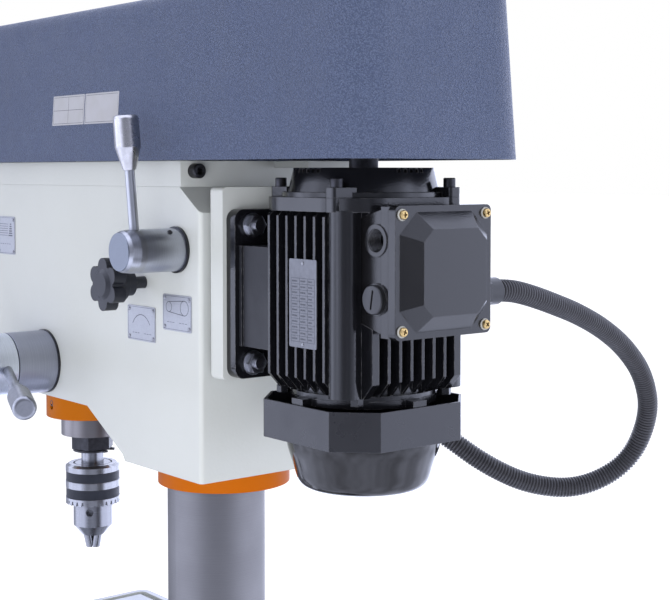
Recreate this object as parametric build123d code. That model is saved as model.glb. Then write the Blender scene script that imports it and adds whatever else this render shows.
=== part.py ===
from build123d import *
import os
from math import acos, cos, pi, radians, sin, sqrt, tan

# Bench drill, in millimetres. The column axis is X = Y = 0 and the bench top is Z = 0.
# The operator stands at -Y, the feed levers are on +X and the motor hangs at +Y.

# Clearances
RUN_FIT = 0.05
GAP = 0.3

# Gear teeth, shared by the feed, the motor slide and the table lift
MODULE = 2.0
PRESSURE_ANGLE = radians(20)
BACKLASH = 0.9
RACK_ADDENDUM = 0.7 * MODULE
DEDENDUM = 1.25 * MODULE
TOOTH_PITCH = pi * MODULE

# Base and column
BASE_WIDTH = 300
BASE_LENGTH = 490
BASE_CENTRE_Y = -90
BASE_HEIGHT = 46
BASE_TOP_WALL = 16
BASE_SIDE_WALL = 18
BASE_RIB = 9
BASE_CORNER = 28
BASE_DRAFT = 5
BASE_CELLS_X = 3
BASE_CELLS_Y = 5
BENCH_BOLT_SPAN_X = 236
BENCH_BOLT_SPAN_Y = 424
BENCH_BOLT_R = 6.5
BENCH_BOSS_R = 19
FOOT_FLANGE_R = 92
FOOT_FLANGE_THICK = 15
FOOT_NECK_WALL = 13
FOOT_HEIGHT = 84
FOOT_BOLT_CIRCLE_R = 76
FOOT_BOLT_R = 6
FOOT_BOLT_DEPTH = 26
COLUMN_R = 46
COLUMN_WALL = 6
COLUMN_GRIP = 155

# Column rack and its collar
LIFT_RACK_THICK = 11
LIFT_RACK_WIDTH = 18
COLLAR_R = 62.5
COLLAR_SHIFT = 9
COLLAR_HEIGHT = 22
COLLAR_NOTCH = 11
LIFT_TURN = 20

# Table and its arm
TABLE_TOP = 362
TABLE_THICK = 20
TABLE_WIDTH = 280
TABLE_DEPTH = 250
TABLE_CORNER = 14
TABLE_RIM = 7
TABLE_GUTTER = 9
TABLE_GUTTER_DEPTH = 4
TABLE_HOLE_R = 14
TABLE_SLOT_WIDTH = 14
TABLE_SLOT_LENGTH = 170
TABLE_SLOT_X = 78
TABLE_RIB = 16
TABLE_RIB_DEPTH = 18
ARM_CLAMP_WALL = 17
ARM_CLAMP_HEIGHT = 88
ARM_HALF_WIDTH = 27
ARM_SPLIT = 5
ARM_EAR_REACH = 26
ARM_EAR_THICK = 18
ARM_EAR_HEIGHT = 42
TILT_DISC_R = 36
TILT_DISC_THICK = 14
TILT_DROP = 60
TILT_BOLT_R = 8
TILT_BOLT_AF = 24
TILT_BOLT_HEAD = 10
TILT_BOLT_DEPTH = 24
LIFT_PINION_TEETH = 12
LIFT_PINION_WIDTH = 16
LIFT_HOUSING_WALL = 8
LIFT_HOUSING_DEPTH = 32
CRANK_SHAFT_R = 8
CRANK_STANDOFF = 4
CRANK_ARM_LENGTH = 92
CRANK_ARM_WIDTH = 22
CRANK_ARM_THICK = 10
CRANK_GRIP_R = 12
CRANK_GRIP_LENGTH = 68
CRANK_PIN_R = 5
CLAMP_SCREW_R = 7
CLAMP_LEVER_LENGTH = 78
CLAMP_LEVER_R = 6

# Head casting and belt platform
HEAD_BOTTOM = 600
HEAD_HEIGHT = 257
HEAD_HALF_WIDTH = 77
HEAD_REAR = 90
HEAD_FRONT = -330
HEAD_NOSE_R = 30
HEAD_EDGE_R = 4
HEAD_WALL = 11
NOSE_RISE = 43
NOSE_BREAK_Y = -109
KNEE_Y = -38
KNEE_RISE = 6
REAR_CHAMFER_Y = 32
REAR_CHAMFER_Z = 22
PLATFORM_THICK = 23
PLATFORM_REAR = 60
PLATFORM_ARM_INNER_X = -25
PLATFORM_ARM_REAR = 110
PLATFORM_LIP = 6

# Lever grips, as shares of their own length or radius
GRIP_DOME = 0.35
GRIP_SHOULDER = 0.42
GRIP_BORE = 0.6

# Belt hood and its hinge
HOOD_HALF_WIDTH = 97
HOOD_REAR = 318
HOOD_FRONT = -346
HOOD_HEIGHT = 145
HOOD_CORNER = 41
HOOD_DRAFT = 3.9
HOOD_WALL = 3
HOOD_TOP_ROUND = 14
HINGE_PIN_R = 3
HINGE_KNUCKLE_R = 6
HINGE_KNUCKLE = 22
HINGE_STATIONS = (-170, 30)
HINGE_OUT = 8
HINGE_DROP = 5
HINGE_LEAF_RISE = 30
HINGE_LEAF_THICK = 3

# Quill, spindle and feed
SPINDLE_Y = -237
QUILL_R = 33
QUILL_LENGTH = 200
QUILL_DROP = 11
QUILL_BORE_R = 20
QUILL_STROKE = 85
QUILL_RACK_DEPTH = 3
QUILL_RING_R = 48.5
QUILL_RING_HEIGHT = 24
QUILL_RING_RISE = 21
QUILL_RING_SPLIT = 4
QUILL_RING_SCREW_R = 3
SPINDLE_R = 14
SPINDLE_NOSE_R = 16
SPINDLE_NOSE = 19
SPLINE_ROOT_R = 9
SPLINE_TIP_R = 11
SPLINE_WIDTH = 4
SPLINE_COUNT = 6
SPINDLE_BEARING_R = 27.5
SPINDLE_BEARING_WIDTH = 14
TAPER_R = 9
TAPER_TIP_R = 7.5
TAPER_DEPTH = 62
EJECTOR_AF = 40
EJECTOR_HEIGHT = 14
EJECTOR_GAP = 2
ARBOR_NECK_R = 12
FEED_PINION_TEETH = 13
FEED_PINION_WIDTH = 20
FEED_AXIS_RISE = 78
FEED_NECK_R = 9
FEED_JOURNAL_R = 16
FEED_JOURNAL_START = 37
FEED_SLEEVE_R = 31.5
FEED_SLEEVE_LENGTH = 44
FEED_RIM_R = 32.2
FEED_RIM_THICK = 2.5
FEED_HUB_R = 31.5
FEED_HUB_LENGTH = 34
FEED_LEVER_OUT = 57
FEED_LEVER_R = 5
FEED_LEVER_LENGTH = 194
FEED_LEVER_TILT = 20.8
FEED_LEVER_PHASE = -4.2
FEED_LEVERS = 3
FEED_GRIP_LENGTH = 82
FEED_GRIP_BIG_R = 10.8
FEED_GRIP_SMALL_R = 6.2
SPRING_CUP_R = 33
SPRING_CUP_DEPTH = 30
SPRING_CUP_ROUND = 4
SPRING_NUT_AF = 24
SPRING_NUT_THICK = 8

# Drill chuck
CHUCK_BODY_R = 20.8
CHUCK_BODY_LENGTH = 78
CHUCK_GAP = 13
SLEEVE_R = 28.9
SLEEVE_LENGTH = 43
SLEEVE_LIP = 5
SLEEVE_CAVITY_R = 26
SLEEVE_BAND = 10.5
SLEEVE_BAND_DEPTH = 0.5
SLEEVE_TEETH = 28
SLEEVE_TOOTH_DEPTH = 4.5
KEY_HOLE_R = 4.1
KEY_HOLE_DROP = 8
JAW_R = 4.6
JAW_LENGTH = 46
JAW_ANGLE = 12
JAW_TIP_OFFSET = 3
JAW_REACH = 14
JAW_SPLIT = 0.2
JAW_TRAVEL = 22
JAW_TURNS = (-9, 111, 231)
KEY_HOLE_TURNS = (51, 171, 291)

# Belt drive
PULLEY_STEPS = 5
PULLEY_STEP_HEIGHT = 15
PULLEY_PITCH_SUM = 92
PULLEY_SMALL_R = 30
PULLEY_STEP_R = 8
BELT_STEP = 3
BELT_TOP_WIDTH = 10
BELT_DEPTH = 6
GROOVE_ANGLE = 19
GROOVE_EXTRA = 2
PULLEY_FLOOR = 14
SLEEVE_SHAFT_R = 15
SLEEVE_SHAFT_TOP = 16
SLEEVE_BEARING_R = 26
SLEEVE_BEARING_WIDTH = 15

# Motor carriage, tension lever and lock
SLIDE_BAR_R = 14
SLIDE_BAR_X = 50
SLIDE_BAR_REACH = 150
SLIDE_TRAVEL = 8
SLIDE_RACK_DEPTH = 2
BRACKET_GAP = 6
BRACKET_THICK = 18
BRACKET_HALF_WIDTH = 70
BRACKET_TOP_DROP = 0.5
BRACKET_HEIGHT = 165
PLATE_THICK = 12.5
PLATE_HALF_WIDTH = 66
PLATE_HEIGHT = 144
PLATE_RISE = 2
PLATE_CORNER = 9
PLATE_BOLT_X = 48
PLATE_BOLT_EDGE = 13.5
PLATE_BOLT_R = 5
PLATE_NUT_AF = 16
PLATE_NUT_THICK = 6.5
PLATE_WASHER_R = 10.5
PLATE_WASHER_THICK = 1.8
TENSION_Y = 54
TENSION_RISE = 202
TENSION_PINION_TEETH = 14
TENSION_PINION_WIDTH = 14
TENSION_JOURNAL_R = 17
TENSION_STUB_R = 7
TENSION_STUB_LENGTH = 13
TENSION_HUB_R = 19
TENSION_SLEEVE_LENGTH = 41
TENSION_RIM_R = 20.5
TENSION_RIM_THICK = 2.5
TENSION_HUB_LENGTH = 18
TENSION_SHOULDER = 12
TENSION_NOSE = 4
TENSION_NOSE_R = 18.2
TENSION_FACE_R = 16.4
TENSION_CAP = 4
TENSION_OIL_HOLE_R = 2.2
TENSION_LEVER_OUT = 42
TENSION_LEVER_R = 4.3
TENSION_LEVER_LENGTH = 117
TENSION_LEVER_LEAN = 4.5
TENSION_GRIP_LENGTH = 47
TENSION_GRIP_BIG_R = 11.1
TENSION_GRIP_SMALL_R = 5.6
LOCK_Y = -1.8
LOCK_DROP = 6
LOCK_SCREW_R = 5.5
LOCK_STANDOFF = 14
LOCK_COLLAR_R = 11.5
LOCK_COLLAR_LENGTH = 9
LOCK_BOSS_R = 15.5
LOCK_BOSS_LENGTH = 8
LOCK_STAR_R = 23.7
LOCK_STAR_WAIST_R = 17.5
LOCK_STAR_THICK = 12
LOCK_LOBES = 6
LOCK_CAP = 3

# Motor
MOTOR_Y = 216
FRAME_TOP_DROP = 7
FRAME_HEIGHT = 156
FRAME_CORE_R = 55
FRAME_BORE_R = 46
FIN_REACH = 66
FIN_COUNT = 6
FIN_PITCH = 11.9
FIN_THICK = 2.8
FIN_END_SLOPE = 12
FIN_HEAD = 5
CORNER_FIN_X = 43.5
CORNER_FIN_THICK = 7
FRAME_POST_X = 53
FRAME_POST_Y = 41
FRAME_POST_R = 13.4
POST_NUT_OUT = 47
POST_NUT = 6
FIN_OVERLAP = 1
POST_NUT_AF = 10
FRAME_FLANGE_R = 67
FRAME_FLANGE_THICK = 11
FRAME_FLANGE_CORNER = 40
FRAME_TAIL_R = 60
FRAME_TAIL = 4
TAIL_PLATE = 6
TAIL_EAR = 7
FOOT_PAD_HALF_WIDTH = 62
FOOT_PAD_THICK = 3.5
FOOT_PAD_DROP = 49
FOOT_PAD_HEIGHT = 85
FOOT_WEB_HALF_WIDTH = 60
FOOT_WEB_INNER = 46
SHIELD_FLANGE_THICK = 4
SHIELD_CONE_BASE_R = 62
SHIELD_CONE_TOP_R = 57.5
SHIELD_HEIGHT = 23.5
SHIELD_WALL = 5
SHIELD_NOTCHES = 5
SHIELD_NOTCH = 3
SHIELD_NOTCH_TURN = 6
LUG_R = 72
LUG_ANGLE = 33
LUG_INNER = 45
LUG_OUTER = 68
LUG_START = 33
LUG_WIDTH = 12
LUG_CORNER = 3
LUG_RISE = 8
LUG_BOLT_R = 3
COWL_FLAT = 71
COWL_SIDE = 42.5
COWL_WALL = 2
COWL_SKIRT = 31
COWL_DROP = 165
BOWL_TOP_R = 64
BOWL_MID_R = 57.5
BOWL_FLOOR_R = 46
BOWL_DEPTH = 42
BOWL_WALL = 2
STATOR_HEIGHT = 74
STATOR_BORE_R = 30
WINDING_RISE = 16
ROTOR_R = 29.5
SHAFT_R = 9.5
SHAFT_END_R = 7
SHAFT_COLLAR_R = 12
MOTOR_BEARING_R = 20
MOTOR_BEARING_WIDTH = 12
FAN_R = 54
FAN_HEIGHT = 20
FAN_BLADES = 8
FAN_THICK = 2
FAN_GAP = 3

# Terminal box and conduit
TBOX_HALF_WIDTH = 47
TBOX_HEIGHT = 96
TBOX_DEPTH = 46
TBOX_RIM = 10
TBOX_FLARE = 2
TBOX_TAPER = 10
TBOX_WALL = 5
TBOX_TOP_DROP = 8
TBOX_SEAT = 42
TCOVER_WIDTH = 101
TCOVER_HEIGHT = 101.5
TCOVER_FLANGE = 8
TCOVER_DOME = 13
TCOVER_DOME_WIDTH = 92
TCOVER_DOME_CUT = 17
TCOVER_CORNER = 5
ENTRY_R = 9
ENTRY_BOSS_R = 12.5
ENTRY_BOSS = 3
ENTRY_UP = 24
ENTRY_DOWN = 21
ENTRY_FORWARD = 15
GLAND_HEX_AF = 25
GLAND_HEX = 14
GLAND_R = 11.2
CONDUIT_R = 9.4
CONDUIT_VALLEY_R = 8
CONDUIT_BORE_R = 6.8
CONDUIT_RIBS = 160
CONDUIT_STRETCH = 10
CONDUIT_ACROSS = Vector(0.3, 0.55, -0.78)
CONDUIT_ROUTE = (
    (-79, 289, 773), (-95, 289, 773), (-125, 288, 766), (-155, 286, 757), (-187, 283, 747),
    (-227, 278, 731), (-268, 271, 709), (-305, 263, 679), (-331, 250, 638), (-326, 230, 589),
    (-284, 206, 565), (-237, 183, 571), (-197, 162, 593), (-167, 139, 621), (-140, 108, 646),
    (-118, 69, 665), (-118, 22, 665),
)

# Switch box on the head's left side
SWITCH_DEPTH = 70
SWITCH_FRONT = -114
SWITCH_REAR = 2
SWITCH_BOTTOM = 618
SWITCH_HEIGHT = 124
SWITCH_CORNER = 6
SWITCH_PLATE = 3
SWITCH_EDGE = 8
SWITCH_GLAND_R = 12
SWITCH_NUT_AF = 27
BUTTON_R = 11
BUTTON_TRAVEL = 4
BUTTON_STEM_R = 7
BUTTON_STEM = 16
STOP_HEAD_R = 17
BUTTON_SPACING = 48
BUTTON_HEAD = 7
BUTTON_ROUND = 2

# Places that follow from the sizes above
FOOT_TOP = BASE_HEIGHT + FOOT_HEIGHT
COLUMN_TOP = HEAD_BOTTOM + COLUMN_GRIP
HEAD_TOP = HEAD_BOTTOM + HEAD_HEIGHT
NOSE_BOTTOM = HEAD_BOTTOM + NOSE_RISE
HOOD_BOTTOM = HEAD_TOP + PLATFORM_THICK
COLLAR_TOP = HEAD_BOTTOM - GAP
COLLAR_BOTTOM = COLLAR_TOP - COLLAR_HEIGHT
RACK_BACK = COLUMN_R + GAP
RACK_FACE = RACK_BACK + LIFT_RACK_THICK
RACK_TOP = COLLAR_BOTTOM + COLLAR_NOTCH
LIFT_PINION_R = MODULE * LIFT_PINION_TEETH / 2
LIFT_AXIS_X = -(RACK_FACE - RACK_ADDENDUM + LIFT_PINION_R)
LIFT_BORE_R = LIFT_PINION_R + MODULE + GAP
TILT_Z = TABLE_TOP - TILT_DROP
ARM_BOTTOM = TILT_Z - ARM_CLAMP_HEIGHT / 2
ARM_TOP = TILT_Z + ARM_CLAMP_HEIGHT / 2
ARM_R = COLUMN_R + ARM_CLAMP_WALL
CRANK_FACE = ARM_R + CRANK_STANDOFF
TABLE_REAR = SPINDLE_Y + TABLE_DEPTH / 2
TILT_FACE_Y = TABLE_REAR + 7
EAR_SCREW_X = ARM_R + ARM_EAR_REACH / 2
FEED_Z = HEAD_BOTTOM + FEED_AXIS_RISE
FEED_PINION_R = MODULE * FEED_PINION_TEETH / 2
QUILL_PITCH = QUILL_R - QUILL_RACK_DEPTH
FEED_Y = SPINDLE_Y + QUILL_PITCH + FEED_PINION_R
QUILL_BOTTOM = HEAD_BOTTOM - QUILL_DROP
QUILL_TOP = QUILL_BOTTOM + QUILL_LENGTH
SPINDLE_BOTTOM = QUILL_BOTTOM - SPINDLE_NOSE
EJECTOR_TOP = QUILL_BOTTOM - EJECTOR_GAP
SLEEVE_TOP = SPINDLE_BOTTOM - CHUCK_GAP
SLEEVE_BOTTOM = SLEEVE_TOP - SLEEVE_LENGTH
CHUCK_BOTTOM = SLEEVE_TOP - CHUCK_BODY_LENGTH
JAW_TIP = CHUCK_BOTTOM - JAW_REACH
PULLEY_BOTTOM = HOOD_BOTTOM + PULLEY_FLOOR
PULLEY_TOP = PULLEY_BOTTOM + PULLEY_STEPS * PULLEY_STEP_HEIGHT
SPLINE_TOP = PULLEY_TOP + SLEEVE_SHAFT_TOP - 2
DRIVE_BOTTOM = QUILL_TOP + 4
TENSION_Z = HEAD_BOTTOM + TENSION_RISE
TENSION_PINION_R = MODULE * TENSION_PINION_TEETH / 2
SLIDE_BAR_Z = TENSION_Z - TENSION_PINION_R - SLIDE_BAR_R + SLIDE_RACK_DEPTH
TENSION_JOURNAL_X = SLIDE_BAR_X + SLIDE_BAR_R
BRACKET_FRONT = HEAD_REAR + BRACKET_GAP
BRACKET_REAR = BRACKET_FRONT + BRACKET_THICK
BRACKET_TOP = HEAD_TOP + BRACKET_TOP_DROP
BRACKET_BOTTOM = BRACKET_TOP - BRACKET_HEIGHT
PLATE_REAR = BRACKET_REAR + PLATE_THICK
PLATE_BOTTOM = BRACKET_BOTTOM + PLATE_RISE
PLATE_TOP = PLATE_BOTTOM + PLATE_HEIGHT
FRAME_TOP = HEAD_TOP - FRAME_TOP_DROP
FRAME_BOTTOM = FRAME_TOP - FRAME_HEIGHT
FLANGE_LOW = FRAME_TOP - FRAME_FLANGE_THICK
SHIELD_TOP = FRAME_TOP + SHIELD_HEIGHT
SKIRT_TOP = FRAME_TOP - COWL_DROP
SKIRT_BOTTOM = SKIRT_TOP - COWL_SKIRT
BOWL_BOTTOM = SKIRT_BOTTOM - BOWL_DEPTH
TBOX_TOP = FRAME_TOP - TBOX_TOP_DROP
TBOX_MID_Z = TBOX_TOP - TBOX_HEIGHT / 2
TBOX_FRONT_Y = MOTOR_Y + TBOX_SEAT
TBOX_REAR_Y = TBOX_FRONT_Y + TBOX_DEPTH
ENTRY_Y = TBOX_REAR_Y - ENTRY_FORWARD
ENTRY_FACE = TBOX_HALF_WIDTH + ENTRY_BOSS
ENTRY_HEIGHTS = (TBOX_MID_Z - ENTRY_DOWN, TBOX_MID_Z + ENTRY_UP)
SWITCH_OUTER_X = -(HEAD_HALF_WIDTH + SWITCH_DEPTH)
SWITCH_TOP = SWITCH_BOTTOM + SWITCH_HEIGHT
SWITCH_MID_X = -(HEAD_HALF_WIDTH + SWITCH_DEPTH / 2)
SWITCH_PLATE_Y = SWITCH_FRONT - SWITCH_PLATE
SWITCH_MID_Z = (SWITCH_BOTTOM + SWITCH_TOP) / 2
BUTTON_HEIGHTS = (SWITCH_MID_Z - BUTTON_SPACING / 2, SWITCH_MID_Z + BUTTON_SPACING / 2)
BELT_Z = PULLEY_BOTTOM + (BELT_STEP + 0.5) * PULLEY_STEP_HEIGHT

BOTTOM = (Align.CENTER, Align.CENTER, Align.MIN)


def block(x0, x1, y0, y1, z0, z1):
    centre = Pos((x0 + x1) / 2, (y0 + y1) / 2, (z0 + z1) / 2)
    return centre * Box(x1 - x0, y1 - y0, z1 - z0)


def rod_x(radius, x0, x1, y, z):
    return Pos(x0, y, z) * Rot(0, 90, 0) * Cylinder(radius, x1 - x0, align=BOTTOM)


def rod_y(radius, y0, y1, x, z):
    return Pos(x, y0, z) * Rot(-90, 0, 0) * Cylinder(radius, y1 - y0, align=BOTTOM)


def rod_z(radius, z0, z1, x=0, y=0):
    return Pos(x, y, z0) * Cylinder(radius, z1 - z0, align=BOTTOM)


def tube_z(outer, inner, z0, z1, x=0, y=0):
    return rod_z(outer, z0, z1, x, y) - rod_z(inner, z0, z1, x, y)


def turned_z(profile, x=0, y=0):
    """A turned piece from (radius, z) points about a vertical axis."""
    outline = Polyline(*[(r, 0, z) for r, z in profile], close=True)
    return Pos(x, y, 0) * revolve(make_face(outline), Axis.Z)


def turned_x(profile, y, z):
    """A turned piece from (x, radius) points about an axis along X."""
    outline = Polyline(*[(x, r, 0) for x, r in profile], close=True)
    return Pos(0, y, z) * revolve(make_face(outline), Axis.X)


def hexagon(across_flats, height):
    return extrude(RegularPolygon(across_flats / 2, 6, major_radius=False), height)


def side_slab(points, half_width):
    """A form outlined by (y, z) points and of one width, centred on X = 0."""
    outline = Polyline(*[(0, y, z) for y, z in points], close=True)
    return extrude(make_face(outline), half_width, dir=(1, 0, 0), both=True)


def group(solids):
    return Compound(children=list(solids))


def tooth_half_angle(radius, teeth):
    """Half the angle that an involute tooth takes up at a radius, less its backlash."""
    pitch_r = MODULE * teeth / 2
    base_r = pitch_r * cos(PRESSURE_ANGLE)
    local = acos(base_r / max(radius, base_r))
    involute = tan(PRESSURE_ANGLE) - PRESSURE_ANGLE - tan(local) + local
    return pi / (2 * teeth) + involute - BACKLASH / (4 * pitch_r)


def spur_gear(teeth, width):
    """A pinion about Z, centred on its width, with one tooth pointing along +X."""
    pitch_r = MODULE * teeth / 2
    root_r = pitch_r - DEDENDUM
    stations = (root_r - 0.5, pitch_r, pitch_r + MODULE / 2, pitch_r + MODULE)
    right = [(r, -tooth_half_angle(r, teeth)) for r in stations]
    left = [(r, tooth_half_angle(r, teeth)) for r in reversed(stations)]
    outline = [(r * cos(a), r * sin(a)) for r, a in right + left]
    tooth = extrude(make_face(Polyline(*outline, close=True)), width / 2, both=True)
    gear = Cylinder(root_r, width)
    return gear + [spot * tooth for spot in PolarLocations(0, teeth)]


def rack_cut(first, last, width):
    """The gaps of a rack and a flat over its teeth: X runs along it, Y out from its pitch line."""
    half = TOOTH_PITCH / 4 + BACKLASH / 4
    slope = tan(PRESSURE_ANGLE)
    top = RACK_ADDENDUM
    outline = (
        (-half + DEDENDUM * slope, -DEDENDUM),
        (half - DEDENDUM * slope, -DEDENDUM),
        (half + top * slope, top),
        (-half - top * slope, top),
    )
    gap = extrude(make_face(Polyline(*outline, close=True)), width / 2, both=True)
    start = (first - 0.5) * TOOTH_PITCH
    end = (last - 0.5) * TOOTH_PITCH
    crown = block(start, end, top, top + DEDENDUM, -width / 2, width / 2)
    return crown + [Pos(step * TOOTH_PITCH) * gap for step in range(first, last)]


def tapered_grip(big_r, small_r, length, bore_r):
    """A turned grip along Z, slim where it meets its rod and domed at the wide end."""
    dome = big_r * GRIP_DOME
    flank = Polyline((big_r, length - dome), (big_r, length * GRIP_SHOULDER), (small_r, 0), (0, 0),
                     (0, length), (big_r - dome, length))
    outline = flank + CenterArc((big_r - dome, length - dome), dome, 0, 90)
    grip = revolve(Plane.XZ * make_face(outline), Axis.Z)
    return grip - rod_z(bore_r, 0, length * GRIP_BORE)


# Base, foot and column

def base_plate():
    outline = Pos(0, BASE_CENTRE_Y) * RectangleRounded(BASE_WIDTH, BASE_LENGTH, BASE_CORNER)
    base = extrude(outline, BASE_HEIGHT, taper=BASE_DRAFT)
    cell_x = (BASE_WIDTH - 2 * BASE_SIDE_WALL + BASE_RIB) / BASE_CELLS_X
    cell_y = (BASE_LENGTH - 2 * BASE_SIDE_WALL + BASE_RIB) / BASE_CELLS_Y
    pocket = Box(cell_x - BASE_RIB, cell_y - BASE_RIB, BASE_HEIGHT - BASE_TOP_WALL, align=BOTTOM)
    grid = GridLocations(cell_x, cell_y, BASE_CELLS_X, BASE_CELLS_Y)
    base -= [Pos(0, BASE_CENTRE_Y) * spot * pocket for spot in grid]
    base += rod_z(FOOT_FLANGE_R, 0, BASE_HEIGHT)
    corners = GridLocations(BENCH_BOLT_SPAN_X, BENCH_BOLT_SPAN_Y, 2, 2)
    bosses = [Pos(0, BASE_CENTRE_Y) * spot * rod_z(BENCH_BOSS_R, 0, BASE_HEIGHT) for spot in corners]
    base += bosses
    base -= [Pos(0, BASE_CENTRE_Y) * spot * rod_z(BENCH_BOLT_R, 0, BASE_HEIGHT) for spot in corners]
    bolt_hole = rod_z(FOOT_BOLT_R, BASE_HEIGHT - FOOT_BOLT_DEPTH, BASE_HEIGHT)
    base -= [spot * bolt_hole for spot in PolarLocations(FOOT_BOLT_CIRCLE_R, 4, 45)]
    return base


def column_foot():
    neck = COLUMN_R + FOOT_NECK_WALL
    flange_top = BASE_HEIGHT + FOOT_FLANGE_THICK
    profile = (
        (COLUMN_R, BASE_HEIGHT),
        (FOOT_FLANGE_R, BASE_HEIGHT),
        (FOOT_FLANGE_R, flange_top - 3),
        (FOOT_FLANGE_R - 3, flange_top),
        (neck + 3, flange_top),
        (neck, flange_top + 14),
        (neck - 2, FOOT_TOP - 3),
        (neck - 5, FOOT_TOP),
        (COLUMN_R, FOOT_TOP),
    )
    hole = rod_z(FOOT_BOLT_R, BASE_HEIGHT, flange_top)
    return turned_z(profile) - [spot * hole for spot in PolarLocations(FOOT_BOLT_CIRCLE_R, 4, 45)]


def column():
    return tube_z(COLUMN_R, COLUMN_R - COLUMN_WALL, BASE_HEIGHT, COLUMN_TOP)


def lift_rack():
    half = LIFT_RACK_WIDTH / 2
    bar = block(-RACK_FACE, -RACK_BACK, -half, half, FOOT_TOP + GAP, RACK_TOP)
    bar -= rod_z(RACK_BACK, FOOT_TOP, RACK_TOP)
    pitch = Plane((-(RACK_FACE - RACK_ADDENDUM), 0, TILT_Z), x_dir=(0, 0, 1), z_dir=(0, -1, 0))
    low = -int((TILT_Z - FOOT_TOP - 6) / TOOTH_PITCH)
    high = int((COLLAR_BOTTOM - TILT_Z - 6) / TOOTH_PITCH) + 1
    return Rot(0, 0, LIFT_TURN) * (bar - pitch * rack_cut(low, high, LIFT_RACK_WIDTH + 2))


def column_collar():
    ring = rod_z(COLLAR_R, COLLAR_BOTTOM, COLLAR_TOP, -COLLAR_SHIFT)
    ring -= rod_z(COLUMN_R + RUN_FIT, COLLAR_BOTTOM, COLLAR_TOP)
    half = LIFT_RACK_WIDTH / 2 + RUN_FIT
    notch = block(-RACK_FACE - RUN_FIT, 0, -half, half, COLLAR_BOTTOM, RACK_TOP)
    return ring - Rot(0, 0, LIFT_TURN) * notch


# Table, its arm, lift and clamp

def table_arm():
    arm = rod_z(ARM_R, ARM_BOTTOM, ARM_TOP)
    arm += block(-ARM_HALF_WIDTH, ARM_HALF_WIDTH, TILT_FACE_Y + GAP, 0, TILT_Z - 30, TILT_Z + 30)
    arm += rod_y(TILT_DISC_R, TILT_FACE_Y + GAP, TILT_FACE_Y + GAP + TILT_DISC_THICK, 0, TILT_Z)
    ear = ARM_SPLIT / 2 + ARM_EAR_THICK
    ear_end = ARM_R + ARM_EAR_REACH
    arm += block(0, ear_end, -ear, ear, TILT_Z - ARM_EAR_HEIGHT / 2, TILT_Z + ARM_EAR_HEIGHT / 2)
    box = LIFT_BORE_R + LIFT_HOUSING_WALL
    depth = LIFT_HOUSING_DEPTH
    lift = Rot(0, 0, LIFT_TURN)
    arm += lift * block(LIFT_AXIS_X - box, 0, -depth, depth, TILT_Z - box, TILT_Z + box)
    arm -= rod_z(COLUMN_R + RUN_FIT, ARM_BOTTOM, ARM_TOP)
    half = LIFT_RACK_WIDTH / 2 + GAP
    arm -= lift * block(-RACK_FACE - GAP, 0, -half, half, ARM_BOTTOM, ARM_TOP)
    arm -= block(0, ear_end, -ARM_SPLIT / 2, ARM_SPLIT / 2, ARM_BOTTOM, ARM_TOP)
    pinion_half = LIFT_PINION_WIDTH / 2 + GAP
    arm -= lift * rod_y(LIFT_BORE_R + RUN_FIT, -pinion_half, LIFT_HOUSING_DEPTH, LIFT_AXIS_X, TILT_Z)
    stub_end = LIFT_HOUSING_DEPTH - LIFT_HOUSING_WALL
    arm -= lift * rod_y(CRANK_SHAFT_R + RUN_FIT, -stub_end, 0, LIFT_AXIS_X, TILT_Z)
    arm -= rod_y(CLAMP_SCREW_R + RUN_FIT, -ear, ear, EAR_SCREW_X, TILT_Z)
    bolt_end = TILT_FACE_Y + TILT_BOLT_DEPTH
    arm -= rod_y(TILT_BOLT_R, TILT_FACE_Y, bolt_end, 0, TILT_Z)
    return arm


def table_plate():
    outline = Pos(0, SPINDLE_Y, TABLE_TOP) * RectangleRounded(TABLE_WIDTH, TABLE_DEPTH, TABLE_CORNER)
    table = extrude(outline, -TABLE_THICK)
    outer = Pos(0, SPINDLE_Y, TABLE_TOP) * RectangleRounded(
        TABLE_WIDTH - 2 * TABLE_RIM, TABLE_DEPTH - 2 * TABLE_RIM, TABLE_CORNER - TABLE_RIM + 1)
    inset = TABLE_RIM + TABLE_GUTTER
    inner = Pos(0, SPINDLE_Y, TABLE_TOP) * Rectangle(TABLE_WIDTH - 2 * inset, TABLE_DEPTH - 2 * inset)
    table -= extrude(outer - inner, -TABLE_GUTTER_DEPTH)
    under = TABLE_TOP - TABLE_THICK
    table += rod_y(TILT_DISC_R, TILT_FACE_Y - TILT_DISC_THICK, TILT_FACE_Y, 0, TILT_Z)
    table += block(-TABLE_RIB, TABLE_RIB, TILT_FACE_Y - TILT_DISC_THICK, TILT_FACE_Y, TILT_Z, under)
    half_x = TABLE_WIDTH / 2 - inset
    half_y = TABLE_DEPTH / 2 - inset
    half_rib = TABLE_RIB / 2
    rib_low = under - TABLE_RIB_DEPTH
    table += block(-half_x, half_x, SPINDLE_Y - half_rib, SPINDLE_Y + half_rib, rib_low, under)
    table += block(-half_rib, half_rib, SPINDLE_Y - half_y, TABLE_REAR, rib_low, under)
    table += rod_z(TABLE_HOLE_R + TABLE_RIB, rib_low, under, 0, SPINDLE_Y)
    table -= rod_z(TABLE_HOLE_R, rib_low, TABLE_TOP, 0, SPINDLE_Y)
    slot = extrude(Rot(0, 0, 90) * SlotOverall(TABLE_SLOT_LENGTH, TABLE_SLOT_WIDTH), TABLE_TOP - rib_low)
    slot = Pos(0, SPINDLE_Y, rib_low) * slot
    table -= [Pos(side * TABLE_SLOT_X) * slot for side in (-1, 1)]
    return table - rod_y(TILT_BOLT_R + RUN_FIT, TILT_FACE_Y - TILT_DISC_THICK, TILT_FACE_Y, 0, TILT_Z)


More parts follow.
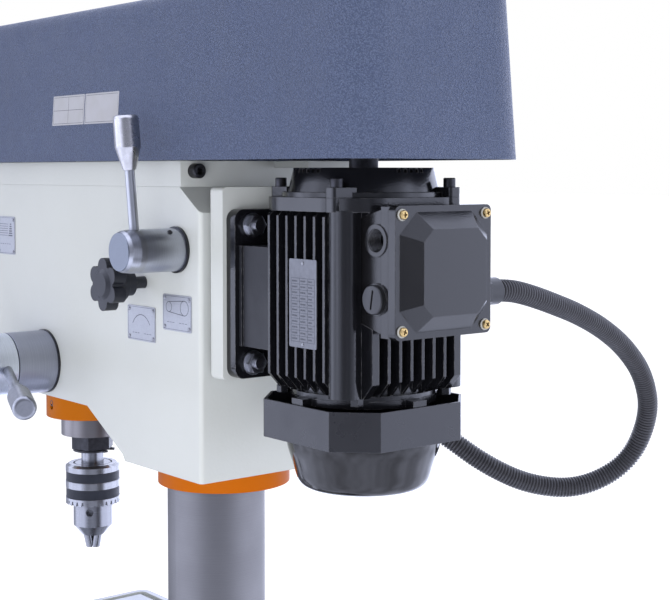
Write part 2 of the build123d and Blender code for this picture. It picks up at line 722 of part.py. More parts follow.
def tilt_bolt():
    head_seat = TILT_FACE_Y - TILT_DISC_THICK - GAP
    spot = Plane((0, head_seat, TILT_Z), x_dir=(1, 0, 0), z_dir=(0, -1, 0))
    head = spot * hexagon(TILT_BOLT_AF, TILT_BOLT_HEAD)
    return head + rod_y(TILT_BOLT_R, head_seat, TILT_FACE_Y + TILT_BOLT_DEPTH, 0, TILT_Z)


def crank():
    """The pinion, its journal, the shaft and the crank arm with the pin of its grip."""
    spot = Plane((LIFT_AXIS_X, 0, TILT_Z), x_dir=(1, 0, 0), z_dir=(0, 1, 0))
    shaft = spot * spur_gear(LIFT_PINION_TEETH, LIFT_PINION_WIDTH)
    journal = LIFT_RACK_WIDTH / 2 + 2 * GAP
    stub_end = LIFT_HOUSING_DEPTH - LIFT_HOUSING_WALL - GAP
    shaft += rod_y(CRANK_SHAFT_R, -stub_end, journal, LIFT_AXIS_X, TILT_Z)
    shaft += rod_y(LIFT_BORE_R, journal, LIFT_HOUSING_DEPTH, LIFT_AXIS_X, TILT_Z)
    shaft_end = CRANK_FACE + 1.3 * CRANK_ARM_THICK
    shaft += rod_y(CRANK_SHAFT_R, LIFT_HOUSING_DEPTH, shaft_end, LIFT_AXIS_X, TILT_Z)
    bar = extrude(SlotCenterToCenter(CRANK_ARM_LENGTH, CRANK_ARM_WIDTH), CRANK_ARM_THICK)
    hang = Plane((LIFT_AXIS_X, CRANK_FACE, TILT_Z), x_dir=(0, 0, -1), z_dir=(0, 1, 0))
    shaft += hang * Pos(CRANK_ARM_LENGTH / 2) * bar
    pin_start = CRANK_FACE + CRANK_ARM_THICK
    pin_end = pin_start + CRANK_GRIP_LENGTH * 0.8
    shaft += rod_y(CRANK_PIN_R, pin_start, pin_end, LIFT_AXIS_X, TILT_Z - CRANK_ARM_LENGTH)
    return Rot(0, 0, LIFT_TURN) * shaft


def crank_grip():
    seat = CRANK_FACE + CRANK_ARM_THICK + GAP
    profile = (
        (CRANK_PIN_R + RUN_FIT, 0),
        (CRANK_GRIP_R * 0.7, 0),
        (CRANK_GRIP_R, CRANK_GRIP_LENGTH * 0.35),
        (CRANK_GRIP_R * 0.8, CRANK_GRIP_LENGTH * 0.75),
        (CRANK_GRIP_R, CRANK_GRIP_LENGTH * 0.92),
        (CRANK_GRIP_R * 0.6, CRANK_GRIP_LENGTH),
        (0, CRANK_GRIP_LENGTH),
        (0, CRANK_GRIP_LENGTH * 0.85),
        (CRANK_PIN_R + RUN_FIT, CRANK_GRIP_LENGTH * 0.85),
    )
    spot = Plane((LIFT_AXIS_X, seat, TILT_Z - CRANK_ARM_LENGTH), x_dir=(1, 0, 0), z_dir=(0, 1, 0))
    return Rot(0, 0, LIFT_TURN) * (spot * turned_z(profile))


def table_clamp():
    ear = ARM_SPLIT / 2 + ARM_EAR_THICK
    hub = ear + GAP
    clamp = rod_y(CLAMP_SCREW_R, -hub, ear, EAR_SCREW_X, TILT_Z)
    clamp += rod_y(CLAMP_SCREW_R * 1.8, -hub - 2.6 * CLAMP_LEVER_R, -hub, EAR_SCREW_X, TILT_Z)
    lever_y = -hub - 1.3 * CLAMP_LEVER_R
    clamp += rod_x(CLAMP_LEVER_R, EAR_SCREW_X, EAR_SCREW_X + CLAMP_LEVER_LENGTH, lever_y, TILT_Z)
    knob = Pos(EAR_SCREW_X + CLAMP_LEVER_LENGTH, lever_y, TILT_Z) * Sphere(1.8 * CLAMP_LEVER_R)
    return clamp + knob


# Head casting and belt platform

def head_casting():
    profile = (
        (HEAD_REAR, HEAD_BOTTOM),
        (KNEE_Y, HEAD_BOTTOM),
        (KNEE_Y - 0.7 * KNEE_RISE, HEAD_BOTTOM + KNEE_RISE),
        (NOSE_BREAK_Y, NOSE_BOTTOM),
        (HEAD_FRONT, NOSE_BOTTOM),
        (HEAD_FRONT, HEAD_TOP),
        (HEAD_REAR - REAR_CHAMFER_Y, HEAD_TOP),
        (HEAD_REAR, HEAD_TOP - REAR_CHAMFER_Z),
    )
    head = side_slab(profile, HEAD_HALF_WIDTH)
    uprights = head.edges().filter_by(Axis.Z).sort_by(Axis.Y)
    head = fillet(uprights[:2], HEAD_NOSE_R)
    uprights = head.edges().filter_by(Axis.Z).sort_by(Axis.Y)
    head = fillet(uprights[-2:], HEAD_EDGE_R)
    head -= rod_z(COLUMN_R, HEAD_BOTTOM, COLUMN_TOP)
    head -= rod_z(QUILL_R + RUN_FIT, NOSE_BOTTOM, DRIVE_BOTTOM - 1, 0, SPINDLE_Y)
    head -= rod_z(SLEEVE_BEARING_R, DRIVE_BOTTOM - 1, HEAD_TOP, 0, SPINDLE_Y)
    pinion_half = FEED_PINION_WIDTH / 2 + GAP
    head -= rod_x(FEED_PINION_R + MODULE + GAP, -pinion_half, FEED_JOURNAL_START, FEED_Y, FEED_Z)
    head -= rod_x(FEED_JOURNAL_R + RUN_FIT, FEED_JOURNAL_START - GAP, HEAD_HALF_WIDTH, FEED_Y, FEED_Z)
    head -= rod_x(FEED_NECK_R + RUN_FIT, -HEAD_HALF_WIDTH, 0, FEED_Y, FEED_Z)
    bar_end = BRACKET_REAR - SLIDE_BAR_REACH - SLIDE_TRAVEL - 2
    for side in (-1, 1):
        head -= rod_y(SLIDE_BAR_R + RUN_FIT, bar_end, HEAD_REAR, side * SLIDE_BAR_X, SLIDE_BAR_Z)
    pinion_in = SLIDE_BAR_X - TENSION_PINION_WIDTH / 2 - GAP
    stub_end = pinion_in - TENSION_STUB_LENGTH
    head -= rod_x(TENSION_PINION_R + MODULE + GAP, pinion_in, TENSION_JOURNAL_X, TENSION_Y, TENSION_Z)
    head -= rod_x(TENSION_JOURNAL_R + RUN_FIT, TENSION_JOURNAL_X, HEAD_HALF_WIDTH, TENSION_Y, TENSION_Z)
    head -= rod_x(TENSION_STUB_R + RUN_FIT, stub_end, pinion_in, TENSION_Y, TENSION_Z)
    hollow_front = FEED_Y + FEED_JOURNAL_R + HEAD_WALL
    hollow_rear = bar_end - HEAD_WALL
    hollow_half = HEAD_HALF_WIDTH - HEAD_WALL
    head -= block(-hollow_half, hollow_half, hollow_front, hollow_rear, NOSE_BOTTOM + HEAD_WALL, HEAD_TOP)
    lock_z = SLIDE_BAR_Z - LOCK_DROP
    return head - rod_x(LOCK_SCREW_R + RUN_FIT, SLIDE_BAR_X, HEAD_HALF_WIDTH, LOCK_Y, lock_z)


def belt_platform():
    plate = block(-HEAD_HALF_WIDTH, HEAD_HALF_WIDTH, HEAD_FRONT, PLATFORM_REAR, HEAD_TOP, HOOD_BOTTOM)
    uprights = plate.edges().filter_by(Axis.Z).sort_by(Axis.Y)
    plate = fillet(uprights[:2], HEAD_NOSE_R)
    plate -= rod_z(SLEEVE_BEARING_R, HEAD_TOP, HOOD_BOTTOM, 0, SPINDLE_Y)
    lip = HOOD_BOTTOM - PLATFORM_LIP
    arm = block(-HEAD_HALF_WIDTH, PLATFORM_ARM_INNER_X, PLATFORM_REAR, PLATFORM_ARM_REAR, lip, HOOD_BOTTOM)
    return plate + arm


# Belt hood and hinge

def hood_outline(inset):
    width = 2 * (HOOD_HALF_WIDTH - inset)
    length = HOOD_REAR - HOOD_FRONT - 2 * inset
    middle = Pos(0, (HOOD_REAR + HOOD_FRONT) / 2, HOOD_BOTTOM)
    return middle * RectangleRounded(width, length, HOOD_CORNER - inset)


def belt_hood():
    hood = extrude(hood_outline(0), HOOD_HEIGHT, taper=HOOD_DRAFT)
    crown = hood.faces().sort_by(Axis.Z)[-1]
    hood = fillet(crown.edges(), HOOD_TOP_ROUND)
    hollow = extrude(hood_outline(HOOD_WALL), HOOD_HEIGHT - HOOD_WALL, taper=HOOD_DRAFT)
    ceiling = hollow.faces().sort_by(Axis.Z)[-1]
    return hood - fillet(ceiling.edges(), HOOD_TOP_ROUND - HOOD_WALL)


HINGE_X = -(HOOD_HALF_WIDTH + HINGE_OUT)
HINGE_Z = HOOD_BOTTOM - HINGE_DROP


def hinge_knuckle(station, start, length):
    y0 = station + start
    return rod_y(HINGE_KNUCKLE_R, y0, y0 + length, HINGE_X, HINGE_Z)


def hinge_brackets():
    """For each hinge two fixed knuckles on the platform's side, with the pin through them."""
    reach = 1.5 * HINGE_KNUCKLE
    solids = []
    for station in HINGE_STATIONS:
        hinge = rod_y(HINGE_PIN_R, station - reach, station + reach, HINGE_X, HINGE_Z)
        for start in (-reach, HINGE_KNUCKLE / 2 + GAP):
            y0 = station + start
            y1 = y0 + HINGE_KNUCKLE - GAP
            hinge += hinge_knuckle(station, start, HINGE_KNUCKLE - GAP)
            hinge += block(HINGE_X, -HEAD_HALF_WIDTH, y0, y1, HINGE_Z - HINGE_KNUCKLE_R, HINGE_Z - 1)
        solids.append(hinge)
    return group(solids)


def hinge_leaves():
    lean = tan(radians(HOOD_DRAFT))
    foot = HOOD_BOTTOM + 2
    top = foot + HINGE_LEAF_RISE
    wall_x = -HOOD_HALF_WIDTH + 2 * lean
    outline = (
        (wall_x - RUN_FIT, 0, foot),
        (wall_x - RUN_FIT + HINGE_LEAF_RISE * lean, 0, top),
        (wall_x - HINGE_LEAF_THICK + HINGE_LEAF_RISE * lean, 0, top),
        (HINGE_X - HINGE_KNUCKLE_R + 1, 0, HINGE_Z + 2),
        (HINGE_X + HINGE_KNUCKLE_R - 2, 0, HINGE_Z + 2),
    )
    solids = []
    for station in HINGE_STATIONS:
        y0 = station - HINGE_KNUCKLE / 2
        leaf = Pos(0, y0) * extrude(make_face(Polyline(*outline, close=True)), HINGE_KNUCKLE, dir=(0, 1, 0))
        leaf += hinge_knuckle(station, -HINGE_KNUCKLE / 2, HINGE_KNUCKLE)
        solids.append(leaf - rod_y(HINGE_PIN_R + RUN_FIT, y0, y0 + HINGE_KNUCKLE, HINGE_X, HINGE_Z))
    return group(solids)


# Quill, spindle and feed

def quill():
    tube = rod_z(QUILL_R, QUILL_BOTTOM, QUILL_TOP, 0, SPINDLE_Y)
    tube -= rod_z(QUILL_BORE_R, QUILL_BOTTOM, QUILL_TOP, 0, SPINDLE_Y)
    seat = SPINDLE_BEARING_WIDTH + 4
    tube -= rod_z(SPINDLE_BEARING_R, QUILL_BOTTOM, QUILL_BOTTOM + seat, 0, SPINDLE_Y)
    tube -= rod_z(SPINDLE_BEARING_R, QUILL_TOP - seat, QUILL_TOP, 0, SPINDLE_Y)
    pitch = Plane((0, SPINDLE_Y + QUILL_PITCH, FEED_Z), x_dir=(0, 0, 1), z_dir=(-1, 0, 0))
    teeth = int(QUILL_STROKE / TOOTH_PITCH) + 4
    return tube - pitch * rack_cut(-2, teeth, FEED_PINION_WIDTH + 2)


def quill_ring():
    low = QUILL_BOTTOM + QUILL_RING_RISE
    ring = tube_z(QUILL_RING_R, QUILL_R, low, low + QUILL_RING_HEIGHT, 0, SPINDLE_Y)
    half = QUILL_RING_SPLIT / 2
    ring -= block(-QUILL_RING_R, 0, SPINDLE_Y - half, SPINDLE_Y + half, low, low + QUILL_RING_HEIGHT)
    middle = low + QUILL_RING_HEIGHT / 2
    return ring - rod_x(QUILL_RING_SCREW_R, 0, QUILL_RING_R + GAP, SPINDLE_Y, middle)


def ring_bearing(outer, inner, width, z0, y):
    """A sealed ball bearing: two rings with a sunk seal between them."""
    band = (outer - inner) * 0.28
    profile = (
        (inner, z0), (inner + band, z0), (inner + band, z0 + 1), (outer - band, z0 + 1),
        (outer - band, z0), (outer, z0), (outer, z0 + width), (outer - band, z0 + width),
        (outer - band, z0 + width - 1), (inner + band, z0 + width - 1), (inner + band, z0 + width),
        (inner, z0 + width),
    )
    return turned_z(profile, 0, y)


def spindle_bearings():
    low = QUILL_BOTTOM + 4
    high = QUILL_TOP - 4 - SPINDLE_BEARING_WIDTH
    inner = SPINDLE_R + RUN_FIT
    return group(
        ring_bearing(SPINDLE_BEARING_R, inner, SPINDLE_BEARING_WIDTH, z0, SPINDLE_Y) for z0 in (low, high))


def spline(root, tip, width, z0, z1):
    bar = rod_z(root, z0, z1)
    key = block(0, tip, -width / 2, width / 2, z0, z1)
    return bar + [spot * key for spot in PolarLocations(0, SPLINE_COUNT)]


def spindle():
    shaft = rod_z(SPINDLE_NOSE_R, SPINDLE_BOTTOM, QUILL_BOTTOM)
    shaft += rod_z(SPINDLE_R, QUILL_BOTTOM, QUILL_TOP + 2)
    shaft += spline(SPLINE_ROOT_R, SPLINE_TIP_R, SPLINE_WIDTH, QUILL_TOP + 2, SPLINE_TOP)
    socket = Pos(0, 0, SPINDLE_BOTTOM) * Cone(TAPER_R, TAPER_TIP_R, TAPER_DEPTH, align=BOTTOM)
    return Pos(0, SPINDLE_Y) * (shaft - socket)


def ejector_nut():
    nut = Pos(0, 0, EJECTOR_TOP - EJECTOR_HEIGHT) * Rot(0, 0, 50) * hexagon(EJECTOR_AF, EJECTOR_HEIGHT)
    nut -= rod_z(SPINDLE_NOSE_R + RUN_FIT, EJECTOR_TOP - EJECTOR_HEIGHT, EJECTOR_TOP)
    return Pos(0, SPINDLE_Y) * nut


def chuck_arbor():
    neck = rod_z(ARBOR_NECK_R, SLEEVE_TOP, SPINDLE_BOTTOM)
    shank = Cone(TAPER_R - RUN_FIT, TAPER_TIP_R - RUN_FIT, TAPER_DEPTH, align=BOTTOM)
    shank = Pos(0, 0, SPINDLE_BOTTOM) * shank
    return Pos(0, SPINDLE_Y) * (neck + shank)


def jaw_line(turn):
    """The line that one jaw slides on, from its tip up and outward."""
    tip = Pos(0, SPINDLE_Y, JAW_TIP) * Rot(0, 0, turn) * Pos(JAW_TIP_OFFSET)
    return tip * Rot(0, JAW_ANGLE, 0)


def chuck_body():
    chamfer = 9
    profile = (
        (0, CHUCK_BOTTOM),
        (CHUCK_BODY_R - chamfer, CHUCK_BOTTOM),
        (CHUCK_BODY_R, CHUCK_BOTTOM + 1.2 * chamfer),
        (CHUCK_BODY_R, SLEEVE_TOP - 2),
        (CHUCK_BODY_R - 2, SLEEVE_TOP),
        (0, SLEEVE_TOP),
    )
    body = turned_z(profile, 0, SPINDLE_Y)
    hole = rod_x(KEY_HOLE_R, CHUCK_BODY_R - 7, CHUCK_BODY_R, 0, SLEEVE_BOTTOM - KEY_HOLE_DROP)
    body -= [Pos(0, SPINDLE_Y) * Rot(0, 0, turn) * hole for turn in KEY_HOLE_TURNS]
    guide = rod_z(JAW_R + RUN_FIT, -5, JAW_LENGTH + JAW_TRAVEL + 4)
    return body - [jaw_line(turn) * guide for turn in JAW_TURNS]


def chuck_sleeve():
    band_low = SLEEVE_BOTTOM + SLEEVE_TOOTH_DEPTH + 2.5
    band_high = band_low + SLEEVE_BAND + 7
    waist = SLEEVE_R - SLEEVE_BAND_DEPTH
    bore = CHUCK_BODY_R + RUN_FIT
    profile = (
        (bore, SLEEVE_BOTTOM),
        (SLEEVE_R, SLEEVE_BOTTOM),
        (SLEEVE_R, band_low),
        (waist, band_low),
        (waist, band_low + SLEEVE_BAND),
        (SLEEVE_R, band_low + SLEEVE_BAND),
        (SLEEVE_R, band_high),
        (waist, band_high),
        (waist, band_high + SLEEVE_BAND),
        (SLEEVE_R, band_high + SLEEVE_BAND),
        (SLEEVE_R, SLEEVE_TOP - 2.5),
        (SLEEVE_R - 3.5, SLEEVE_TOP),
        (bore, SLEEVE_TOP),
        (bore, SLEEVE_TOP - SLEEVE_LIP),
        (SLEEVE_CAVITY_R, SLEEVE_TOP - SLEEVE_LIP - 3),
        (SLEEVE_CAVITY_R, SLEEVE_BOTTOM + SLEEVE_LIP + 3),
        (bore, SLEEVE_BOTTOM + SLEEVE_LIP),
    )
    sleeve = turned_z(profile)
    width = pi * SLEEVE_R / SLEEVE_TEETH
    depth = SLEEVE_TOOTH_DEPTH
    notch = ((-width / 2, 0), (width / 2, 0), (width / 5, depth), (-width / 5, depth))
    cutter = extrude(Plane.YZ * make_face(Polyline(*notch, close=True)), SLEEVE_R)
    cutter = Pos(SLEEVE_R - 4.5, 0, SLEEVE_BOTTOM) * cutter
    sleeve -= [spot * cutter for spot in PolarLocations(0, SLEEVE_TEETH)]
    return Pos(0, SPINDLE_Y) * sleeve


def chuck_jaw(turn):
    jaw = jaw_line(turn) * rod_z(JAW_R, -3, JAW_LENGTH)
    reach = 60
    sector = Polyline((0, 0), (reach, -reach * sqrt(3)), (reach, reach * sqrt(3)), close=True)
    wedge = extrude(make_face(sector), CHUCK_BODY_LENGTH + JAW_REACH)
    wedge = Pos(0, SPINDLE_Y, JAW_TIP) * Rot(0, 0, turn) * Pos(2 * JAW_SPLIT) * wedge
    return jaw & wedge


def feed_shaft():
    half = FEED_PINION_WIDTH / 2
    spot = Plane((0, FEED_Y, FEED_Z), x_dir=(0, -1, 0), z_dir=(1, 0, 0))
    shaft = spot * spur_gear(FEED_PINION_TEETH, FEED_PINION_WIDTH)
    nut_seat = -HEAD_HALF_WIDTH - SPRING_CUP_DEPTH - GAP
    nut = Plane((nut_seat, FEED_Y, FEED_Z), x_dir=(0, 1, 0), z_dir=(-1, 0, 0))
    shaft += nut * hexagon(SPRING_NUT_AF, SPRING_NUT_THICK)
    shaft += rod_x(FEED_NECK_R, nut_seat - 1.5 * SPRING_NUT_THICK, -half, FEED_Y, FEED_Z)
    shaft += rod_x(FEED_NECK_R, half, FEED_JOURNAL_START, FEED_Y, FEED_Z)
    hub_start = HEAD_HALF_WIDTH + FEED_SLEEVE_LENGTH
    shaft += rod_x(FEED_JOURNAL_R, FEED_JOURNAL_START, hub_start, FEED_Y, FEED_Z)
    return shaft + rod_x(FEED_NECK_R, hub_start, hub_start + FEED_HUB_LENGTH - 6, FEED_Y, FEED_Z)


def feed_sleeve():
    face = HEAD_HALF_WIDTH
    profile = (
        (face, FEED_JOURNAL_R + RUN_FIT),
        (face, FEED_RIM_R),
        (face + FEED_RIM_THICK, FEED_RIM_R),
        (face + FEED_RIM_THICK, FEED_SLEEVE_R),
        (face + FEED_SLEEVE_LENGTH - GAP, FEED_SLEEVE_R),
        (face + FEED_SLEEVE_LENGTH - GAP, FEED_JOURNAL_R + RUN_FIT),
    )
    return turned_x(profile, FEED_Y, FEED_Z)


def feed_lever_line(index):
    """Where one feed lever leaves the shaft axis: Z runs along the lever."""
    start = HEAD_HALF_WIDTH + FEED_LEVER_OUT - FEED_HUB_R * tan(radians(FEED_LEVER_TILT))
    turn = FEED_LEVER_PHASE + index * 360 / FEED_LEVERS
    return Pos(start, FEED_Y, FEED_Z) * Rot(turn - 90, 0, 0) * Rot(0, FEED_LEVER_TILT, 0)


def feed_hub():
    start = HEAD_HALF_WIDTH + FEED_SLEEVE_LENGTH
    end = start + FEED_HUB_LENGTH
    profile = (
        (start, FEED_NECK_R),
        (start, FEED_HUB_R - 1),
        (start + 1, FEED_HUB_R),
        (end - 4, FEED_HUB_R),
        (end, FEED_HUB_R - 5),
        (end, 0),
        (end - 6, 0),
        (end - 6, FEED_NECK_R),
    )
    hub = turned_x(profile, FEED_Y, FEED_Z)
    socket = rod_z(FEED_LEVER_R, FEED_HUB_R * 0.62, FEED_HUB_R * 1.4)
    return hub - [feed_lever_line(index) * socket for index in range(FEED_LEVERS)]


def feed_levers():
    lever = rod_z(FEED_LEVER_R, FEED_HUB_R * 0.62, FEED_LEVER_LENGTH - FEED_GRIP_LENGTH * 0.42)
    return group(feed_lever_line(index) * lever for index in range(FEED_LEVERS))


def feed_grips():
    grip = tapered_grip(FEED_GRIP_BIG_R, FEED_GRIP_SMALL_R, FEED_GRIP_LENGTH, FEED_LEVER_R)
    grip = Pos(0, 0, FEED_LEVER_LENGTH - FEED_GRIP_LENGTH) * grip
    return group(feed_lever_line(index) * grip for index in range(FEED_LEVERS))


def spring_cup():
    face = -HEAD_HALF_WIDTH
    end = face - SPRING_CUP_DEPTH
    profile = (
        (face, FEED_NECK_R + RUN_FIT),
        (face, SPRING_CUP_R),
        (end + SPRING_CUP_ROUND, SPRING_CUP_R),
        (end, SPRING_CUP_R - SPRING_CUP_ROUND),
        (end, FEED_NECK_R + RUN_FIT),
    )
    return turned_x(profile, FEED_Y, FEED_Z)


# Belt drive inside the hood

def step_pulley(radii, bore):
    """A cone pulley with one belt groove in each step, listed from the bottom up."""
    profile = [(bore, PULLEY_BOTTOM)]
    groove = BELT_DEPTH + GROOVE_EXTRA
    half_mouth = BELT_TOP_WIDTH / 2
    half_floor = half_mouth - groove * tan(radians(GROOVE_ANGLE))
    for index, pitch_r in enumerate(radii):
        middle = PULLEY_BOTTOM + (index + 0.5) * PULLEY_STEP_HEIGHT
        rim = pitch_r + BELT_DEPTH / 2
        profile += [
            (rim, middle - PULLEY_STEP_HEIGHT / 2),
            (rim, middle - half_mouth),
            (rim - groove, middle - half_floor),
            (rim - groove, middle + half_floor),
            (rim, middle + half_mouth),
            (rim, middle + PULLEY_STEP_HEIGHT / 2),
        ]
    profile.append((bore, PULLEY_TOP))
    return turned_z(profile)


SPINDLE_RADII = [PULLEY_SMALL_R + PULLEY_STEP_R * index for index in range(PULLEY_STEPS)]
MOTOR_RADII = [PULLEY_PITCH_SUM - r for r in SPINDLE_RADII]


def spindle_pulley():
    """The spindle's cone pulley on the splined sleeve that drives it."""
    top = PULLEY_TOP + SLEEVE_SHAFT_TOP
    pulley = step_pulley(SPINDLE_RADII, SLEEVE_SHAFT_R - 1)
    pulley += tube_z(SLEEVE_SHAFT_R, SPLINE_ROOT_R, DRIVE_BOTTOM, top)
    key_width = SPLINE_WIDTH + 4 * RUN_FIT
    keyway = spline(SPLINE_ROOT_R + RUN_FIT, SPLINE_TIP_R + RUN_FIT, key_width, DRIVE_BOTTOM, top)
    return Pos(0, SPINDLE_Y) * (pulley - keyway)


def motor_pulley():
    return Pos(0, MOTOR_Y) * step_pulley(MOTOR_RADII, SHAFT_END_R)


def sleeve_bearings():
    low = DRIVE_BOTTOM + 1
    high = HEAD_TOP - SLEEVE_BEARING_WIDTH
    inner = SLEEVE_SHAFT_R + RUN_FIT
    return group(
        ring_bearing(SLEEVE_BEARING_R, inner, SLEEVE_BEARING_WIDTH, z0, SPINDLE_Y) for z0 in (low, high))


def v_belt():
    outer_extra = BELT_DEPTH / 2
    inner_extra = -BELT_DEPTH / 2

    def loop(extra):
        front = Pos(0, SPINDLE_Y) * Circle(SPINDLE_RADII[BELT_STEP] + extra)
        rear = Pos(0, MOTOR_Y) * Circle(MOTOR_RADII[BELT_STEP] + extra)
        return make_hull(front.edges() + rear.edges())

    width = BELT_TOP_WIDTH - 2 * GAP
    belt = extrude(loop(outer_extra) - loop(inner_extra), width)
    inner_edges = belt.faces().sort_by(Axis.Z)[-1].inner_wires()[0].edges()
    lower_edges = belt.faces().sort_by(Axis.Z)[0].inner_wires()[0].edges()
    flank = BELT_DEPTH * 0.9
    belt = chamfer(inner_edges + lower_edges, flank * tan(radians(GROOVE_ANGLE)), flank)
    return Pos(0, 0, BELT_Z - width / 2) * belt


# Motor carriage, tension lever and lock

def motor_bracket():
    half = BRACKET_HALF_WIDTH
    plate = block(-half, half, BRACKET_FRONT, BRACKET_REAR, BRACKET_BOTTOM, BRACKET_TOP)
    plate = fillet(plate.edges().filter_by(Axis.Y), PLATE_CORNER / 2)
    for side in (-1, 1):
        plate -= rod_y(SLIDE_BAR_R, BRACKET_FRONT, BRACKET_REAR, side * SLIDE_BAR_X, SLIDE_BAR_Z)
    hole = Cylinder(PLATE_BOLT_R, 2 * BRACKET_THICK)
    return plate - [spot * hole for spot in plate_bolt_spots(BRACKET_REAR)]


def plate_bolt_spots(y):
    low = PLATE_BOTTOM + PLATE_BOLT_EDGE
    high = PLATE_TOP - PLATE_BOLT_EDGE
    spots = [(side * PLATE_BOLT_X, y, z) for side in (-1, 1) for z in (low, high)]
    return [Location(Plane(spot, x_dir=(1, 0, 0), z_dir=(0, 1, 0))) for spot in spots]


def motor_plate():
    plate = block(-PLATE_HALF_WIDTH, PLATE_HALF_WIDTH, BRACKET_REAR, PLATE_REAR, PLATE_BOTTOM, PLATE_TOP)
    plate = fillet(plate.edges().filter_by(Axis.Y), PLATE_CORNER)
    hole = Cylinder(PLATE_BOLT_R, 2 * PLATE_THICK)
    return plate - [spot * hole for spot in plate_bolt_spots(PLATE_REAR)]


def plate_bolts():
    stud = rod_z(PLATE_BOLT_R, -BRACKET_THICK - PLATE_THICK, PLATE_WASHER_THICK + PLATE_NUT_THICK + 3)
    stud += rod_z(PLATE_WASHER_R, 0, PLATE_WASHER_THICK)
    stud += Pos(0, 0, PLATE_WASHER_THICK) * hexagon(PLATE_NUT_AF, PLATE_NUT_THICK)
    return group(spot * stud for spot in plate_bolt_spots(PLATE_REAR))


def slide_bars():
    front = BRACKET_REAR - SLIDE_BAR_REACH
    bars = [rod_y(SLIDE_BAR_R, front, BRACKET_REAR, side * SLIDE_BAR_X, SLIDE_BAR_Z) for side in (-1, 1)]
    pitch = Plane((SLIDE_BAR_X, TENSION_Y, TENSION_Z - TENSION_PINION_R), x_dir=(0, 1, 0), z_dir=(1, 0, 0))
    bars[1] -= pitch * rack_cut(-3, 5, TENSION_PINION_WIDTH + 2)
    return group(bars)


def tension_shaft():
    spot = Plane((SLIDE_BAR_X, TENSION_Y, TENSION_Z), x_dir=(0, 0, -1), z_dir=(1, 0, 0))
    shaft = spot * spur_gear(TENSION_PINION_TEETH, TENSION_PINION_WIDTH)
    stub_end = SLIDE_BAR_X - TENSION_PINION_WIDTH / 2 - TENSION_STUB_LENGTH
    hub_end = HEAD_HALF_WIDTH + TENSION_SLEEVE_LENGTH + TENSION_HUB_LENGTH
    shaft += rod_x(TENSION_STUB_R, stub_end, hub_end - TENSION_CAP, TENSION_Y, TENSION_Z)
    return shaft + rod_x(TENSION_JOURNAL_R, TENSION_JOURNAL_X + GAP, HEAD_HALF_WIDTH, TENSION_Y, TENSION_Z)


def tension_lever_line():
    return Pos(HEAD_HALF_WIDTH + TENSION_LEVER_OUT, TENSION_Y, TENSION_Z) * Rot(0, TENSION_LEVER_LEAN, 0)


def tension_lever():
    """The lever's hub, with a rim at the head, an oil hole and a rounded nose, and its slim rod."""
    face = HEAD_HALF_WIDTH + GAP
    rim = face + TENSION_RIM_THICK
    end = HEAD_HALF_WIDTH + TENSION_SLEEVE_LENGTH + TENSION_HUB_LENGTH
    profile = (
        (face, TENSION_STUB_R),
        (face, TENSION_RIM_R),
        (rim, TENSION_RIM_R),
        (rim, TENSION_HUB_R),
        (end - TENSION_SHOULDER, TENSION_HUB_R),
        (end - TENSION_NOSE, TENSION_NOSE_R),
        (end, TENSION_FACE_R),
        (end, 0),
        (end - TENSION_CAP, 0),
        (end - TENSION_CAP, TENSION_STUB_R),
    )
    lever = turned_x(profile, TENSION_Y, TENSION_Z)
    hub_top = TENSION_Z + TENSION_HUB_R
    lever -= rod_z(TENSION_OIL_HOLE_R, hub_top - 5, hub_top, rim + 3 * TENSION_OIL_HOLE_R, TENSION_Y)
    rod_end = TENSION_LEVER_LENGTH - TENSION_GRIP_LENGTH * (1 - GRIP_BORE)
    return lever + tension_lever_line() * rod_z(TENSION_LEVER_R, TENSION_HUB_R * 0.6, rod_end)


def tension_grip():
    grip = tapered_grip(TENSION_GRIP_BIG_R, TENSION_GRIP_SMALL_R, TENSION_GRIP_LENGTH, TENSION_LEVER_R)
    return tension_lever_line() * Pos(0, 0, TENSION_LEVER_LENGTH - TENSION_GRIP_LENGTH) * grip


def lock_knob():
    z = SLIDE_BAR_Z - LOCK_DROP
    seat = HEAD_HALF_WIDTH + LOCK_STANDOFF
    boss = seat + LOCK_COLLAR_LENGTH
    star = boss + LOCK_BOSS_LENGTH
    lobe = (LOCK_STAR_R - LOCK_STAR_WAIST_R) * 1.25
    sketch = Circle(LOCK_STAR_WAIST_R)
    lobe_spots = PolarLocations(LOCK_STAR_R - lobe, LOCK_LOBES, 180 / LOCK_LOBES)
    sketch += [spot * Circle(lobe) for spot in lobe_spots]
    head = extrude(sketch, LOCK_STAR_THICK)
    cap = Cone(LOCK_STAR_WAIST_R * 0.8, LOCK_STAR_WAIST_R * 0.62, LOCK_CAP, align=BOTTOM)
    head += Pos(0, 0, LOCK_STAR_THICK) * cap
    knob = Plane((star, LOCK_Y, z), x_dir=(0, 1, 0), z_dir=(1, 0, 0)) * head
    knob += rod_x(LOCK_COLLAR_R, seat, boss, LOCK_Y, z) + rod_x(LOCK_BOSS_R, boss, star, LOCK_Y, z)
    bar_side = SLIDE_BAR_X + sqrt(SLIDE_BAR_R ** 2 - (LOCK_DROP - LOCK_SCREW_R) ** 2)
    return knob + rod_x(LOCK_SCREW_R, bar_side + GAP, seat, LOCK_Y, z)


# Motor

def box_form(inset, flare):
    """The terminal box as a full form, smaller all round by the inset: a wedge with a flared rim."""
    half = TBOX_HALF_WIDTH - inset
    up = TBOX_HEIGHT / 2 - inset
    seat_up = up - TBOX_TAPER
    rim_y = TBOX_REAR_Y - TBOX_RIM
    outline = (
        (TBOX_FRONT_Y, TBOX_MID_Z - seat_up),
        (rim_y, TBOX_MID_Z - up),
        (rim_y, TBOX_MID_Z + up),
        (TBOX_FRONT_Y, TBOX_MID_Z + seat_up),
    )
    wedge = side_slab(outline, half)
    wide = half + flare
    tall = up + flare
    return wedge + block(-wide, wide, rim_y, TBOX_REAR_Y, TBOX_MID_Z - tall, TBOX_MID_Z + tall)


